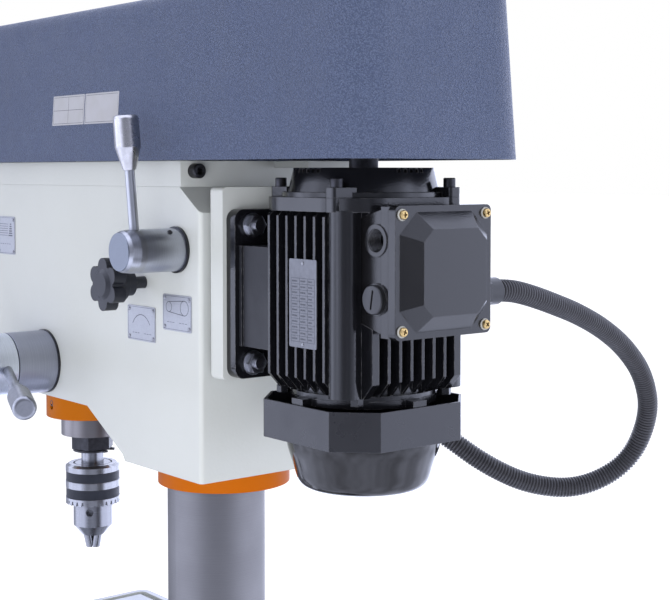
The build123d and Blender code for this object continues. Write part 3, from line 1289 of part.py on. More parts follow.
def fin(side_turn, offset_across, thick):
    """One cooling fin with a sloped foot, standing out on the side that is turned to."""
    high = FLANGE_LOW + FIN_OVERLAP
    points = (
        (0, FRAME_BOTTOM),
        (FRAME_CORE_R, FRAME_BOTTOM),
        (FIN_REACH, FRAME_BOTTOM + FIN_END_SLOPE),
        (FIN_REACH, high - FIN_HEAD),
        (FIN_REACH - FIN_HEAD, high),
        (0, high),
    )
    outline = make_face(Polyline(*[(r, 0, z) for r, z in points], close=True))
    plate = extrude(outline, thick / 2, dir=(0, 1, 0), both=True)
    return Rot(0, 0, side_turn) * Pos(0, offset_across) * plate


def motor_lug(z0, z1):
    """A square bolt lug that stands out from the flange rim between two heights."""
    lug = block(LUG_INNER, LUG_OUTER, LUG_START, LUG_START + LUG_WIDTH, z0, z1)
    return fillet(lug.edges().filter_by(Axis.Z).sort_by(Axis.X)[-2:], LUG_CORNER)


def motor_frame():
    frame = rod_z(FRAME_CORE_R, FRAME_BOTTOM, FRAME_TOP)
    flange = RectangleRounded(2 * FRAME_FLANGE_R, 2 * FRAME_FLANGE_R, FRAME_FLANGE_CORNER)
    frame += Pos(0, 0, FLANGE_LOW) * extrude(flange, FRAME_FLANGE_THICK)
    frame += rod_z(FRAME_TAIL_R, FRAME_BOTTOM - FRAME_TAIL, FRAME_BOTTOM)
    first = -FIN_PITCH * (FIN_COUNT - 1) / 2
    for side in range(4):
        frame += [fin(90 * side, first + FIN_PITCH * index, FIN_THICK) for index in range(FIN_COUNT)]
        frame += Rot(0, 0, 90 * side) * motor_lug(FLANGE_LOW, FRAME_TOP)
    post_top = FLANGE_LOW + FIN_OVERLAP
    for x_side in (-1, 1):
        frame += [fin(turn, x_side * CORNER_FIN_X, CORNER_FIN_THICK) for turn in (90, 270)]
        frame += fin(90 - 90 * x_side, x_side * (first - FIN_PITCH), FIN_THICK)
        frame += rod_z(FRAME_POST_R, FRAME_BOTTOM, post_top, x_side * FRAME_POST_X, FRAME_POST_Y)
    pad_top = HEAD_TOP - FOOT_PAD_DROP
    pad_low = pad_top - FOOT_PAD_HEIGHT
    pad_y = PLATE_REAR - MOTOR_Y
    pad_half = FOOT_PAD_HALF_WIDTH
    frame += block(-pad_half, pad_half, pad_y, pad_y + FOOT_PAD_THICK, pad_low, pad_top)
    web_half = FOOT_WEB_HALF_WIDTH
    frame += block(-web_half, web_half, pad_y, -FOOT_WEB_INNER, pad_low, pad_top)
    frame -= Pos(0, -MOTOR_Y) * box_form(0, TBOX_FLARE)
    frame -= [rod_x(ENTRY_BOSS_R, -ENTRY_FACE, ENTRY_FACE, ENTRY_Y - MOTOR_Y, z) for z in ENTRY_HEIGHTS]
    frame += rod_z(FRAME_CORE_R, FRAME_BOTTOM, FRAME_TOP)
    frame -= rod_z(FRAME_BORE_R, FRAME_BOTTOM - FRAME_TAIL, FRAME_TOP)
    hole = rod_z(LUG_BOLT_R, FLANGE_LOW, FRAME_TOP, LUG_R)
    frame -= [Rot(0, 0, 90 * side + LUG_ANGLE) * hole for side in range(4)]
    nut = Pos(POST_NUT_OUT, POST_NUT_OUT, FRAME_BOTTOM - POST_NUT) * hexagon(POST_NUT_AF, POST_NUT)
    frame += [Rot(0, 0, 90 * side) * nut for side in range(4)]
    return Pos(0, MOTOR_Y) * frame


def drive_shield():
    flange_top = FRAME_TOP + SHIELD_FLANGE_THICK
    profile = (
        (SHAFT_COLLAR_R + GAP, SHIELD_TOP),
        (SHIELD_CONE_TOP_R, SHIELD_TOP),
        (SHIELD_CONE_BASE_R, flange_top),
        (FRAME_FLANGE_R, flange_top),
        (FRAME_FLANGE_R, FRAME_TOP),
        (FRAME_BORE_R, FRAME_TOP),
        (FRAME_BORE_R, SHIELD_TOP - SHIELD_WALL),
        (MOTOR_BEARING_R, SHIELD_TOP - SHIELD_WALL),
        (MOTOR_BEARING_R, SHIELD_TOP - SHIELD_WALL - MOTOR_BEARING_WIDTH),
        (SHAFT_R + RUN_FIT, SHIELD_TOP - SHIELD_WALL - MOTOR_BEARING_WIDTH),
        (SHAFT_R + RUN_FIT, SHIELD_TOP - SHIELD_WALL - GAP),
        (SHAFT_COLLAR_R + GAP, SHIELD_TOP - SHIELD_WALL - GAP),
    )
    shield = turned_z(profile)
    hole = rod_z(LUG_BOLT_R, FRAME_TOP, FRAME_TOP + LUG_RISE, LUG_R)
    for side in range(4):
        shield += Rot(0, 0, 90 * side) * motor_lug(FRAME_TOP, FRAME_TOP + LUG_RISE)
        shield -= Rot(0, 0, 90 * side + LUG_ANGLE) * hole
    shield -= rod_z(FRAME_BORE_R, FRAME_TOP, SHIELD_TOP - SHIELD_WALL - MOTOR_BEARING_WIDTH)
    notch = Box(12, SHIELD_NOTCH, SHIELD_NOTCH, align=BOTTOM)
    notch = Pos(SHIELD_CONE_TOP_R + 3, 0, SHIELD_TOP - SHIELD_NOTCH - 1) * notch
    for quarter in (0, 90, 180, 270):
        first = quarter - SHIELD_NOTCH_TURN * (SHIELD_NOTCHES - 1) / 2
        turns = [first + SHIELD_NOTCH_TURN * index for index in range(SHIELD_NOTCHES)]
        shield -= [Rot(0, 0, turn) * notch for turn in turns]
    return Pos(0, MOTOR_Y) * shield


def octagon(inset):
    flat = COWL_FLAT - inset
    side = COWL_SIDE - inset * tan(radians(22.5))
    corners = ((flat, -side), (flat, side), (side, flat), (-side, flat),
               (-flat, side), (-flat, -side), (-side, -flat), (side, -flat))
    return make_face(Polyline(*corners, close=True))


def tail_shield():
    """The fan-end shield with the ears that carry the cowl."""
    top = FRAME_BOTTOM - FRAME_TAIL
    low = top - TAIL_PLATE
    shield = rod_z(FRAME_TAIL_R, low, top)
    shield += rod_z(MOTOR_BEARING_R, low, top + MOTOR_BEARING_WIDTH)
    shield -= rod_z(SHAFT_R + RUN_FIT, low, top + MOTOR_BEARING_WIDTH)
    ear = block(FRAME_CORE_R, COWL_FLAT - COWL_WALL, -TAIL_EAR, TAIL_EAR, SKIRT_TOP - TAIL_EAR, top)
    shield += [Rot(0, 0, 90 * side) * ear for side in range(4)]
    return Pos(0, MOTOR_Y) * shield


def cowl_skirt():
    skirt = Pos(0, 0, SKIRT_BOTTOM) * extrude(octagon(0), COWL_SKIRT)
    skirt -= Pos(0, 0, SKIRT_BOTTOM + COWL_WALL) * extrude(octagon(COWL_WALL), COWL_SKIRT)
    skirt -= rod_z(BOWL_TOP_R - BOWL_WALL, SKIRT_BOTTOM, SKIRT_BOTTOM + COWL_WALL)
    return Pos(0, MOTOR_Y) * skirt


def cowl_bowl():
    middle = SKIRT_BOTTOM - BOWL_DEPTH * 0.62
    outer = Spline((BOWL_TOP_R, 0, SKIRT_BOTTOM), (BOWL_MID_R, 0, middle), (BOWL_FLOOR_R, 0, BOWL_BOTTOM),
                   tangents=((0, 0, -1), (-1, 0, -0.15)))
    inner_floor = BOWL_BOTTOM + BOWL_WALL
    inner = Spline((BOWL_FLOOR_R - BOWL_WALL, 0, inner_floor), (BOWL_MID_R - BOWL_WALL, 0, middle),
                   (BOWL_TOP_R - BOWL_WALL, 0, SKIRT_BOTTOM), tangents=((1, 0, 0.15), (0, 0, 1)))
    outline = outer + Line((BOWL_FLOOR_R, 0, BOWL_BOTTOM), (0, 0, BOWL_BOTTOM))
    outline += Line((0, 0, BOWL_BOTTOM), (0, 0, inner_floor))
    outline += Line((0, 0, inner_floor), (BOWL_FLOOR_R - BOWL_WALL, 0, inner_floor)) + inner
    outline += Line((BOWL_TOP_R - BOWL_WALL, 0, SKIRT_BOTTOM), (BOWL_TOP_R, 0, SKIRT_BOTTOM))
    return Pos(0, MOTOR_Y) * revolve(make_face(outline), Axis.Z)


def stator():
    low = (FRAME_TOP + FRAME_BOTTOM - STATOR_HEIGHT) / 2
    core = tube_z(FRAME_BORE_R, STATOR_BORE_R, low, low + STATOR_HEIGHT)
    ring_in = STATOR_BORE_R + 3
    ring_out = FRAME_BORE_R - 4
    core += tube_z(ring_out, ring_in, low - WINDING_RISE, low + STATOR_HEIGHT + WINDING_RISE)
    return Pos(0, MOTOR_Y) * core


def motor_shaft():
    """The rotor and its shaft, with the cooling fan below and the collar into the hood."""
    core_low = (FRAME_TOP + FRAME_BOTTOM - STATOR_HEIGHT) / 2
    fan_top = FRAME_BOTTOM - FRAME_TAIL - TAIL_PLATE - FAN_GAP
    fan_low = fan_top - FAN_HEIGHT
    shaft = rod_z(SHAFT_R, fan_low, SHIELD_TOP - SHIELD_WALL)
    shaft += rod_z(ROTOR_R, core_low, core_low + STATOR_HEIGHT)
    shaft += rod_z(SHAFT_COLLAR_R, SHIELD_TOP - SHIELD_WALL, PULLEY_BOTTOM)
    shaft += rod_z(SHAFT_END_R, PULLEY_BOTTOM, PULLEY_TOP + FAN_GAP)
    shaft += rod_z(FAN_R, fan_low, fan_low + FAN_THICK)
    blade = block(0, FAN_R, -FAN_THICK / 2, FAN_THICK / 2, fan_low, fan_top)
    shaft += [spot * blade for spot in PolarLocations(0, FAN_BLADES)]
    return Pos(0, MOTOR_Y) * shaft


# Terminal box and conduit

def terminal_box():
    """The box saddles the motor's round core; three of its four cable entries are open."""
    floor = MOTOR_Y + FRAME_CORE_R + TBOX_WALL
    box = box_form(0, TBOX_FLARE)
    box += [rod_x(ENTRY_BOSS_R, -ENTRY_FACE, ENTRY_FACE, ENTRY_Y, z) for z in ENTRY_HEIGHTS]
    box -= rod_z(FRAME_CORE_R, FRAME_BOTTOM, FRAME_TOP, 0, MOTOR_Y)
    solid_floor = block(-ENTRY_FACE, ENTRY_FACE, MOTOR_Y, floor, FRAME_BOTTOM, FRAME_TOP)
    box -= box_form(TBOX_WALL, 0) - solid_floor
    box -= rod_x(ENTRY_R, -ENTRY_FACE, ENTRY_FACE, ENTRY_Y, ENTRY_HEIGHTS[0])
    return box - rod_x(ENTRY_R, 0, ENTRY_FACE, ENTRY_Y, ENTRY_HEIGHTS[1])


def terminal_cover():
    spot = Plane((0, TBOX_REAR_Y, TBOX_MID_Z), x_dir=(-1, 0, 0), z_dir=(0, 1, 0))
    cover = extrude(RectangleRounded(TCOVER_WIDTH, TCOVER_HEIGHT, TCOVER_CORNER), TCOVER_FLANGE)
    half = TCOVER_DOME_WIDTH / 2
    cut = half - TCOVER_DOME_CUT
    corners = ((half, -cut), (half, cut), (cut, half), (-cut, half),
               (-half, cut), (-half, -cut), (-cut, -half), (cut, -half))
    dome = extrude(make_face(Polyline(*corners, close=True)), TCOVER_DOME, taper=45)
    return spot * (cover + Pos(0, 0, TCOVER_FLANGE) * dome)


def conduit_gland():
    z = ENTRY_HEIGHTS[0]
    inside = TBOX_WALL - TBOX_HALF_WIDTH
    end = CONDUIT_ROUTE[0][0]
    spot = Plane((-ENTRY_FACE, ENTRY_Y, z), x_dir=(0, 0, 1), z_dir=(-1, 0, 0))
    gland = spot * hexagon(GLAND_HEX_AF, GLAND_HEX)
    gland += rod_x(ENTRY_R, -ENTRY_FACE, inside, ENTRY_Y, z)
    gland += rod_x(GLAND_R, end, -ENTRY_FACE - GLAND_HEX, ENTRY_Y, z)
    return gland - rod_x(CONDUIT_BORE_R, end, inside, ENTRY_Y, z)


def conduit():
    """The ribbed hose: ruled lofts through four circles for each rib, and a swept bore."""
    points = [Vector(*point) for point in CONDUIT_ROUTE]
    runs = [(end - start).length for start, end in zip(points, points[1:])]
    radii = []
    for index in range(1, len(points) - 1):
        turn = (points[index] - points[index - 1]).get_angle(points[index + 1] - points[index])
        radii.append(0.45 * min(runs[index - 1], runs[index]) / tan(radians(turn) / 2))
    print("conduit bend radii", [round(radius) for radius in radii])
    path = FilletPolyline(*points, radius=radii)

    def ring(length, radius):
        along = path.tangent_at(length / path.length)
        across = CONDUIT_ACROSS - along * CONDUIT_ACROSS.dot(along)
        return Plane(path.position_at(length / path.length), x_dir=across, z_dir=along) * Circle(radius)

    plain = CONDUIT_R / 2
    pitch = (path.length - 2 * plain) / CONDUIT_RIBS
    hose = loft([ring(0, CONDUIT_R), ring(plain, CONDUIT_R)], ruled=True)
    for first in range(0, CONDUIT_RIBS, CONDUIT_STRETCH):
        rings = []
        for rib in range(first, min(first + CONDUIT_STRETCH, CONDUIT_RIBS)):
            start = plain + rib * pitch
            rings.append(ring(start, CONDUIT_VALLEY_R))
            rings.append(ring(start + 0.25 * pitch, CONDUIT_R))
            rings.append(ring(start + 0.7 * pitch, CONDUIT_R))
            rings.append(ring(start + 0.95 * pitch, CONDUIT_VALLEY_R))
        rings.append(ring(start + pitch, CONDUIT_VALLEY_R))
        hose += loft(rings, ruled=True)
    hose += loft([ring(path.length - plain, CONDUIT_R), ring(path.length, CONDUIT_R)], ruled=True)
    hose -= sweep(ring(0, CONDUIT_BORE_R), path=path)
    wall = pi * (0.7 * CONDUIT_R ** 2 + 0.3 * CONDUIT_VALLEY_R ** 2 - CONDUIT_BORE_R ** 2)
    print("conduit length", round(path.length))
    print("conduit volume", round(hose.volume), "and section times length", round(wall * path.length))
    return hose


# Switch box

def switch_box():
    """The switch box with a raised front plate that both button stems pass through."""
    body = block(SWITCH_OUTER_X, -HEAD_HALF_WIDTH, SWITCH_FRONT, SWITCH_REAR, SWITCH_BOTTOM, SWITCH_TOP)
    body = fillet(body.edges().filter_by(Axis.Z).sort_by(Axis.X)[:2], SWITCH_CORNER)
    edge = SWITCH_EDGE
    plate = block(SWITCH_OUTER_X + edge, -HEAD_HALF_WIDTH - edge, SWITCH_PLATE_Y, SWITCH_FRONT,
                  SWITCH_BOTTOM + edge, SWITCH_TOP - edge)
    body += fillet(plate.edges().filter_by(Axis.Y), SWITCH_CORNER)
    stem_end = SWITCH_FRONT + BUTTON_STEM + GAP
    for z in BUTTON_HEIGHTS:
        body -= rod_y(BUTTON_STEM_R + RUN_FIT, SWITCH_PLATE_Y, stem_end, SWITCH_MID_X, z)
    return body


def push_button(z, head_r):
    """A button on its stem; it stands off the plate by its travel and a little air."""
    seat = SWITCH_PLATE_Y - BUTTON_TRAVEL - GAP
    head = rod_y(head_r, seat - BUTTON_HEAD, seat, SWITCH_MID_X, z)
    head = fillet(head.edges().sort_by(Axis.Y)[0], BUTTON_ROUND)
    stem_end = SWITCH_FRONT + BUTTON_STEM - BUTTON_TRAVEL
    return head + rod_y(BUTTON_STEM_R, seat, stem_end, SWITCH_MID_X, z)


def switch_gland():
    """A loose gland: the conduit's end slides in it as the motor carriage moves."""
    x, end, z = CONDUIT_ROUTE[-1]
    mouth = end + SLIDE_TRAVEL
    nut = Plane((x, SWITCH_REAR, z), x_dir=(1, 0, 0), z_dir=(0, 1, 0)) * hexagon(SWITCH_NUT_AF, GLAND_HEX)
    gland = nut + rod_y(SWITCH_GLAND_R, SWITCH_REAR, mouth, x, z)
    return gland - rod_y(CONDUIT_R + GAP, SWITCH_REAR, mouth, x, z)


NODES = {
    "base_plate": base_plate(),
    "column_foot": column_foot(),
    "column": column(),
    "lift_rack": lift_rack(),
    "column_collar": column_collar(),
    "table_arm": table_arm(),
    "table": table_plate(),
    "tilt_bolt": tilt_bolt(),
    "crank": crank(),
    "crank_grip": crank_grip(),
    "table_clamp": table_clamp(),
    "head_casting": head_casting(),
    "belt_platform": belt_platform(),
    "belt_hood": belt_hood(),
    "hinge_brackets": hinge_brackets(),
    "hinge_leaves": hinge_leaves(),
    "quill": quill(),
    "quill_ring": quill_ring(),
    "spindle_bearings": spindle_bearings(),
    "spindle": spindle(),
    "ejector_nut": ejector_nut(),
    "chuck_arbor": chuck_arbor(),
    "chuck_body": chuck_body(),
    "chuck_sleeve": chuck_sleeve(),
    "feed_shaft": feed_shaft(),
    "feed_sleeve": feed_sleeve(),
    "feed_hub": feed_hub(),
    "feed_levers": feed_levers(),
    "feed_grips": feed_grips(),
    "spring_cup": spring_cup(),
    "spindle_pulley": spindle_pulley(),
    "sleeve_bearings": sleeve_bearings(),
    "v_belt": v_belt(),
    "motor_pulley": motor_pulley(),
    "motor_bracket": motor_bracket(),
    "motor_plate": motor_plate(),
    "plate_bolts": plate_bolts(),
    "slide_bars": slide_bars(),
    "tension_shaft": tension_shaft(),
    "tension_lever": tension_lever(),
    "tension_grip": tension_grip(),
    "lock_knob": lock_knob(),
    "motor_frame": motor_frame(),
    "drive_shield": drive_shield(),
    "tail_shield": tail_shield(),
    "cowl_skirt": cowl_skirt(),
    "cowl_bowl": cowl_bowl(),
    "stator": stator(),
    "motor_shaft": motor_shaft(),
    "terminal_box": terminal_box(),
    "terminal_cover": terminal_cover(),
    "conduit_gland": conduit_gland(),
    "conduit": conduit(),
    "switch_box": switch_box(),
    "switch_gland": switch_gland(),
    "stop_button": push_button(BUTTON_HEIGHTS[0], STOP_HEAD_R),
    "start_button": push_button(BUTTON_HEIGHTS[1], BUTTON_R),
}
for number, turn in enumerate(JAW_TURNS, 1):
    NODES[f"chuck_jaw_{number}"] = chuck_jaw(turn)

os.makedirs("parts", exist_ok=True)
for node, shape in NODES.items():
    export_step(shape, f"parts/{node}.step")
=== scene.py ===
import math

import bmesh
import bpy
from mathutils import Matrix, Vector


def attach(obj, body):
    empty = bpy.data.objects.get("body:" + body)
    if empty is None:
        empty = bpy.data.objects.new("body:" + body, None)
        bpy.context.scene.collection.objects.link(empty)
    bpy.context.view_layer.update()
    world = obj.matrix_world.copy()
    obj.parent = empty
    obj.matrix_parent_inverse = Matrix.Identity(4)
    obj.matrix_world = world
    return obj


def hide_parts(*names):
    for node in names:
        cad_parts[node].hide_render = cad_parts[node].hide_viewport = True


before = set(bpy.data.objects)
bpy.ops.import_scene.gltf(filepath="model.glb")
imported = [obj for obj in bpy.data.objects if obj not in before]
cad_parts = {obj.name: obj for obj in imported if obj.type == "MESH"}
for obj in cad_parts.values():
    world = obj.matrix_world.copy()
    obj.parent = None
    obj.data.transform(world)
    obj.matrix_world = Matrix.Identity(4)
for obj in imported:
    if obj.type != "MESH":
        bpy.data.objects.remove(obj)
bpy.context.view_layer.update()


# Base and column foot: iron castings under slate enamel. Four hex bolts clamp the foot to its pad.
# The enamel is sprayed, so it has a pebbled skin, drifts a little in tone and is rubbed thin along its edges.
FLOAT, COLOUR, VECTOR = "NodeSocketFloat", "NodeSocketColor", "NodeSocketVector"
SLATE = (0.07, 0.088, 0.155, 1)
SLATE_SHADE = (0.058, 0.074, 0.135, 1)
BARE_IRON = (0.3, 0.3, 0.31, 1)


def add(tree, kind, inputs, **settings):
    """One node of a material or group, with its sockets set or linked."""
    made = tree.nodes.new(kind)
    for key, value in settings.items():
        setattr(made, key, value)
    for key, value in inputs.items():
        if isinstance(value, bpy.types.NodeSocket):
            tree.links.new(value, made.inputs[key])
        else:
            made.inputs[key].default_value = value
    return made


def calc(tree, operation, *values):
    return add(tree, "ShaderNodeMath", dict(enumerate(values)), operation=operation).outputs[0]


def product(tree, first, *others):
    for other in others:
        first = calc(tree, "MULTIPLY", first, other)
    return first


def dot(tree, first, second):
    return add(tree, "ShaderNodeVectorMath", {0: first, 1: second}, operation="DOT_PRODUCT").outputs["Value"]


def ramp(tree, value, low, high, start=0.0, end=1.0):
    sockets = {"Value": value, "From Min": low, "From Max": high, "To Min": start, "To Max": end}
    return add(tree, "ShaderNodeMapRange", sockets).outputs["Result"]


def mixed(tree, share, first, second):
    sockets = {"Factor": share, 6: first, 7: second}
    return add(tree, "ShaderNodeMix", sockets, data_type="RGBA").outputs[2]


def noise(tree, coordinates, scale, detail=2.0):
    sockets = {"Vector": coordinates, "Scale": scale, "Detail": detail}
    return add(tree, "ShaderNodeTexNoise", sockets).outputs["Fac"]


def own_place(tree):
    """Where a point is on its own piece, in metres."""
    return add(tree, "ShaderNodeTexCoord", {}).outputs["Object"]


def effect(name, inputs, outputs):
    """An empty node group, with the sockets that come in and those that go out."""
    tree = bpy.data.node_groups.new(name, "ShaderNodeTree")
    for key, (kind, value) in inputs.items():
        tree.interface.new_socket(key, in_out="INPUT", socket_type=kind).default_value = value
    for key, kind in outputs.items():
        tree.interface.new_socket(key, in_out="OUTPUT", socket_type=kind)
    return tree, add(tree, "NodeGroupInput", {}).outputs, add(tree, "NodeGroupOutput", {}).inputs


def use(tree, group, **inputs):
    return add(tree, "ShaderNodeGroup", inputs, node_tree=group).outputs


def paint_skin_effect():
    """Sprayed enamel: a pebbled skin, a slow drift of tone, patches of duller gloss, and painted shade in the
    pebbles' hollows as much as asked.
    """
    tree, given, out = effect(
        "paint_skin",
        {"Color": (COLOUR, SLATE), "Shade": (COLOUR, SLATE_SHADE), "Grain": (FLOAT, 500),
         "Gloss": (FLOAT, 0.4), "Speckle": (FLOAT, 0.0)},
        {"Color": COLOUR, "Roughness": FLOAT, "Height": FLOAT},
    )
    place = own_place(tree)
    drift = ramp(tree, noise(tree, place, 7, 4), 0.35, 0.68)
    patches = ramp(tree, noise(tree, place, 38, 5), 0.3, 0.7, -0.06, 0.06)
    cells = {"Vector": place, "Scale": given["Grain"], "Smoothness": 0.5}
    from_crown = add(tree, "ShaderNodeTexVoronoi", cells, feature="SMOOTH_F1").outputs["Distance"]
    # Painted shade: the colour goes toward the darker tone in the hollows between pebbles.
    valley_shade = product(tree, ramp(tree, from_crown, 0.2, 0.6), given["Speckle"])
    darker = calc(tree, "MAXIMUM", product(tree, drift, 0.6), valley_shade)
    tree.links.new(mixed(tree, darker, given["Color"], given["Shade"]), out["Color"])
    tree.links.new(calc(tree, "ADD", given["Gloss"], patches), out["Roughness"])
    tree.links.new(calc(tree, "SUBTRACT", 1.0, from_crown), out["Height"])
    return tree


def edge_wear_and_highlight_effect():
    """Rounds a hard edge in the light, and marks where handling has rubbed it; on the motor's black this mark
    is partly a painted highlight along the fins' edges.
    """
    tree, given, out = effect(
        "edge_wear_and_highlight", {"Radius": (FLOAT, 0.0008), "Amount": (FLOAT, 0.3)}, {"Normal": VECTOR, "Mask": FLOAT}
    )
    rounded = add(tree, "ShaderNodeBevel", {"Radius": given["Radius"]}, samples=4).outputs[0]
    straight = add(tree, "ShaderNodeNewGeometry", {}).outputs["Normal"]
    turned_away = ramp(tree, dot(tree, rounded, straight), 0.985, 0.8)
    rubbed = ramp(tree, noise(tree, own_place(tree), 130, 4), 0.42, 0.62)
    tree.links.new(rounded, out["Normal"])
    tree.links.new(product(tree, turned_away, rubbed, given["Amount"]), out["Mask"])
    return tree


def corner_shade_and_dirt_effect():
    """A patchy mask where two surfaces meet, from ambient occlusion: painted corner shade with dirt where a
    finish darkens by it, settled dust where a moulding lightens by it.
    """
    tree, given, out = effect(
        "corner_shade_and_dirt", {"Reach": (FLOAT, 0.012), "Amount": (FLOAT, 0.4)}, {"Mask": FLOAT}
    )
    around = add(tree, "ShaderNodeAmbientOcclusion", {"Distance": given["Reach"]}, samples=4)
    corner = ramp(tree, around.outputs["AO"], 0.95, 0.35)
    patchy = ramp(tree, noise(tree, own_place(tree), 55, 5), 0.25, 0.75, 0.35, 1)
    tree.links.new(product(tree, corner, patchy, given["Amount"]), out["Mask"])
    return tree


PAINT_SKIN, EDGE_WEAR_AND_HIGHLIGHT, CORNER_SHADE_AND_DIRT = paint_skin_effect(), edge_wear_and_highlight_effect(), corner_shade_and_dirt_effect()


def new_finish(name):
    made = bpy.data.materials.new(name)
    made.use_nodes = True
    return made, made.node_tree, made.node_tree.nodes["Principled BSDF"]


def bumped(tree, surface, height, depth, normal):
    sockets = {"Height": height, "Normal": normal, "Distance": depth, "Strength": 1.0}
    tree.links.new(add(tree, "ShaderNodeBump", sockets).outputs[0], surface.inputs["Normal"])


def dimmed(colour, share):
    return tuple(share * part for part in colour[:3]) + (1,)


def enamel(name, colour, shade, grain, pebble, gloss, edge_wear_and_highlight_colour, rubbed=0.3, shade_and_dirt_amount=0.35, edge=0.0009,
           shine=0.5, hollow_shade=0.0):
    """A painted finish. Pebble is how deep the skin is in metres, and grain how many pebbles to a metre."""
    made, tree, surface = new_finish(name)
    skin = use(tree, PAINT_SKIN, Color=colour, Shade=shade, Grain=grain, Gloss=gloss, Speckle=hollow_shade)
    edges = use(tree, EDGE_WEAR_AND_HIGHLIGHT, Radius=edge, Amount=rubbed)
    shade_and_dirt = use(tree, CORNER_SHADE_AND_DIRT, Amount=shade_and_dirt_amount)
    clean = mixed(tree, edges["Mask"], skin["Color"], edge_wear_and_highlight_colour)
    # Darker where surfaces meet: painted corner shade, mixed with patchy dirt.
    tree.links.new(mixed(tree, shade_and_dirt["Mask"], clean, dimmed(colour, 0.45)), surface.inputs["Base Color"])
    tree.links.new(skin["Roughness"], surface.inputs["Roughness"])
    surface.inputs["Specular IOR Level"].default_value = shine
    bumped(tree, surface, skin["Height"], pebble, edges["Normal"])
    return made


def dress(material, *names):
    """Gives CAD nodes their finish."""
    for name in names:
        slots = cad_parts[name].data.materials
        slots.clear()
        slots.append(material)


slate_enamel = enamel("slate_enamel", SLATE, SLATE_SHADE, 420, 0.00012, 0.42, BARE_IRON)
dress(slate_enamel, "base_plate", "column_foot")

FOOT_BOLTS_R = 76
FOOT_BOLT_SEAT = 61
MM = 0.001
TURN_STEPS = 48


def round_ring(radius):
    return lambda angle: (radius * math.cos(angle), radius * math.sin(angle))


def hex_ring(across_flats):
    def corner_point(angle):
        from_flat = (angle + math.pi / 6) % (math.pi / 3) - math.pi / 6
        reach = across_flats / 2 / math.cos(from_flat)
        return reach * math.cos(angle), reach * math.sin(angle)

    return corner_point


def shaped(name, rings, place, steps=TURN_STEPS):
    """A closed piece through rings of (height in mm, ring), turned into place."""
    mesh = bmesh.new()
    loops = []
    for height, ring in rings:
        corners = [ring(2 * math.pi * k / steps) for k in range(steps)]
        loops.append([mesh.verts.new(Vector((x, y, height)) * MM) for x, y in corners])
    for low, high in zip(loops, loops[1:]):
        for k in range(steps):
            mesh.faces.new((low[k - 1], low[k], high[k], high[k - 1]))
    mesh.faces.new(loops[0][::-1])
    mesh.faces.new(loops[-1])
    return solid(name, mesh, place)


def solid(name, mesh, place):
    """Makes the object of a finished bmesh, smooth but for its hard edges."""
    bmesh.ops.recalc_face_normals(mesh, faces=mesh.faces)
    data = bpy.data.meshes.new(name)
    mesh.to_mesh(data)
    mesh.free()
    data.shade_smooth()
    data.set_sharp_from_angle(angle=math.radians(32))
    made = bpy.data.objects.new(name, data)
    bpy.context.collection.objects.link(made)
    made.matrix_world = place
    return made


def facing(x, y, z, axis, roll=0):
    """The place of a piece whose own +Z points along axis, at a point in mm."""
    turn = Vector(axis).to_track_quat("Z", "Y").to_matrix().to_4x4()
    return Matrix.Translation(Vector((x, y, z)) * MM) @ turn @ Matrix.Rotation(roll, 4, "Z")


def hex_screw(name, across_flats, height, place, washer):
    """A hex head with a rounded top on a plain washer."""
    flange = across_flats * washer
    rings = [(0, round_ring(flange)), (1.6, round_ring(flange)), (1.6, hex_ring(across_flats * 0.98))]
    rings += [(2.0, hex_ring(across_flats)), (height - 1.2, hex_ring(across_flats))]
    rings += [(height, round_ring(across_flats * 0.46)), (height, round_ring(across_flats * 0.2))]
    return shaped(name, rings, place)


def fix(piece, material, body):
    piece.data.materials.append(material)
    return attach(piece, body)


def oxide_metal(name, colour, gloss):
    """Blackened steel: dark, faintly mottled, bright where the oxide is rubbed off."""
    made, tree, surface = new_finish(name)
    place = own_place(tree)
    edges = use(tree, EDGE_WEAR_AND_HIGHLIGHT, Radius=0.0005, Amount=0.55)
    mottle = ramp(tree, noise(tree, place, 210, 5), 0.3, 0.7)
    base = mixed(tree, mottle, colour, dimmed(colour, 0.6))
    tree.links.new(mixed(tree, edges["Mask"], base, (0.42, 0.42, 0.44, 1)), surface.inputs["Base Color"])
    tree.links.new(ramp(tree, mottle, 0, 1, gloss, gloss + 0.14), surface.inputs["Roughness"])
    surface.inputs["Metallic"].default_value = 0.85
    bumped(tree, surface, noise(tree, place, 1500, 3), 0.00003, edges["Normal"])
    return made


black_oxide = oxide_metal("black_oxide", (0.05, 0.05, 0.056, 1), 0.32)
for turn in range(4):
    angle = math.radians(45 + 90 * turn)
    x, y = FOOT_BOLTS_R * math.cos(angle), FOOT_BOLTS_R * math.sin(angle)
    spot = facing(x, y, FOOT_BOLT_SEAT, (0, 0, 1))
    fix(hex_screw(f"foot_bolt_{turn + 1}", 19, 11, spot, 0.62), black_oxide, "stand")


# Column, rack and collar: a ground steel tube with a cut rack beside it, held down by an orange collar.
# Grinding leaves fine rings round the tube, and the collar is enamelled in a bright orange.
GROUND_STEEL = (0.215, 0.21, 0.21, 1)
ORANGE = (0.48, 0.115, 0.002, 1)
ORANGE_SHADE = (0.43, 0.1, 0.002, 1)


def tool_lines(tree, way, scale, detail=3.0, roughness=0.5):
    """Fine lines across the way that a tool went."""
    sockets = {"W": way, "Scale": scale, "Detail": detail, "Roughness": roughness}
    return add(tree, "ShaderNodeTexNoise", sockets, noise_dimensions="1D").outputs["Fac"]


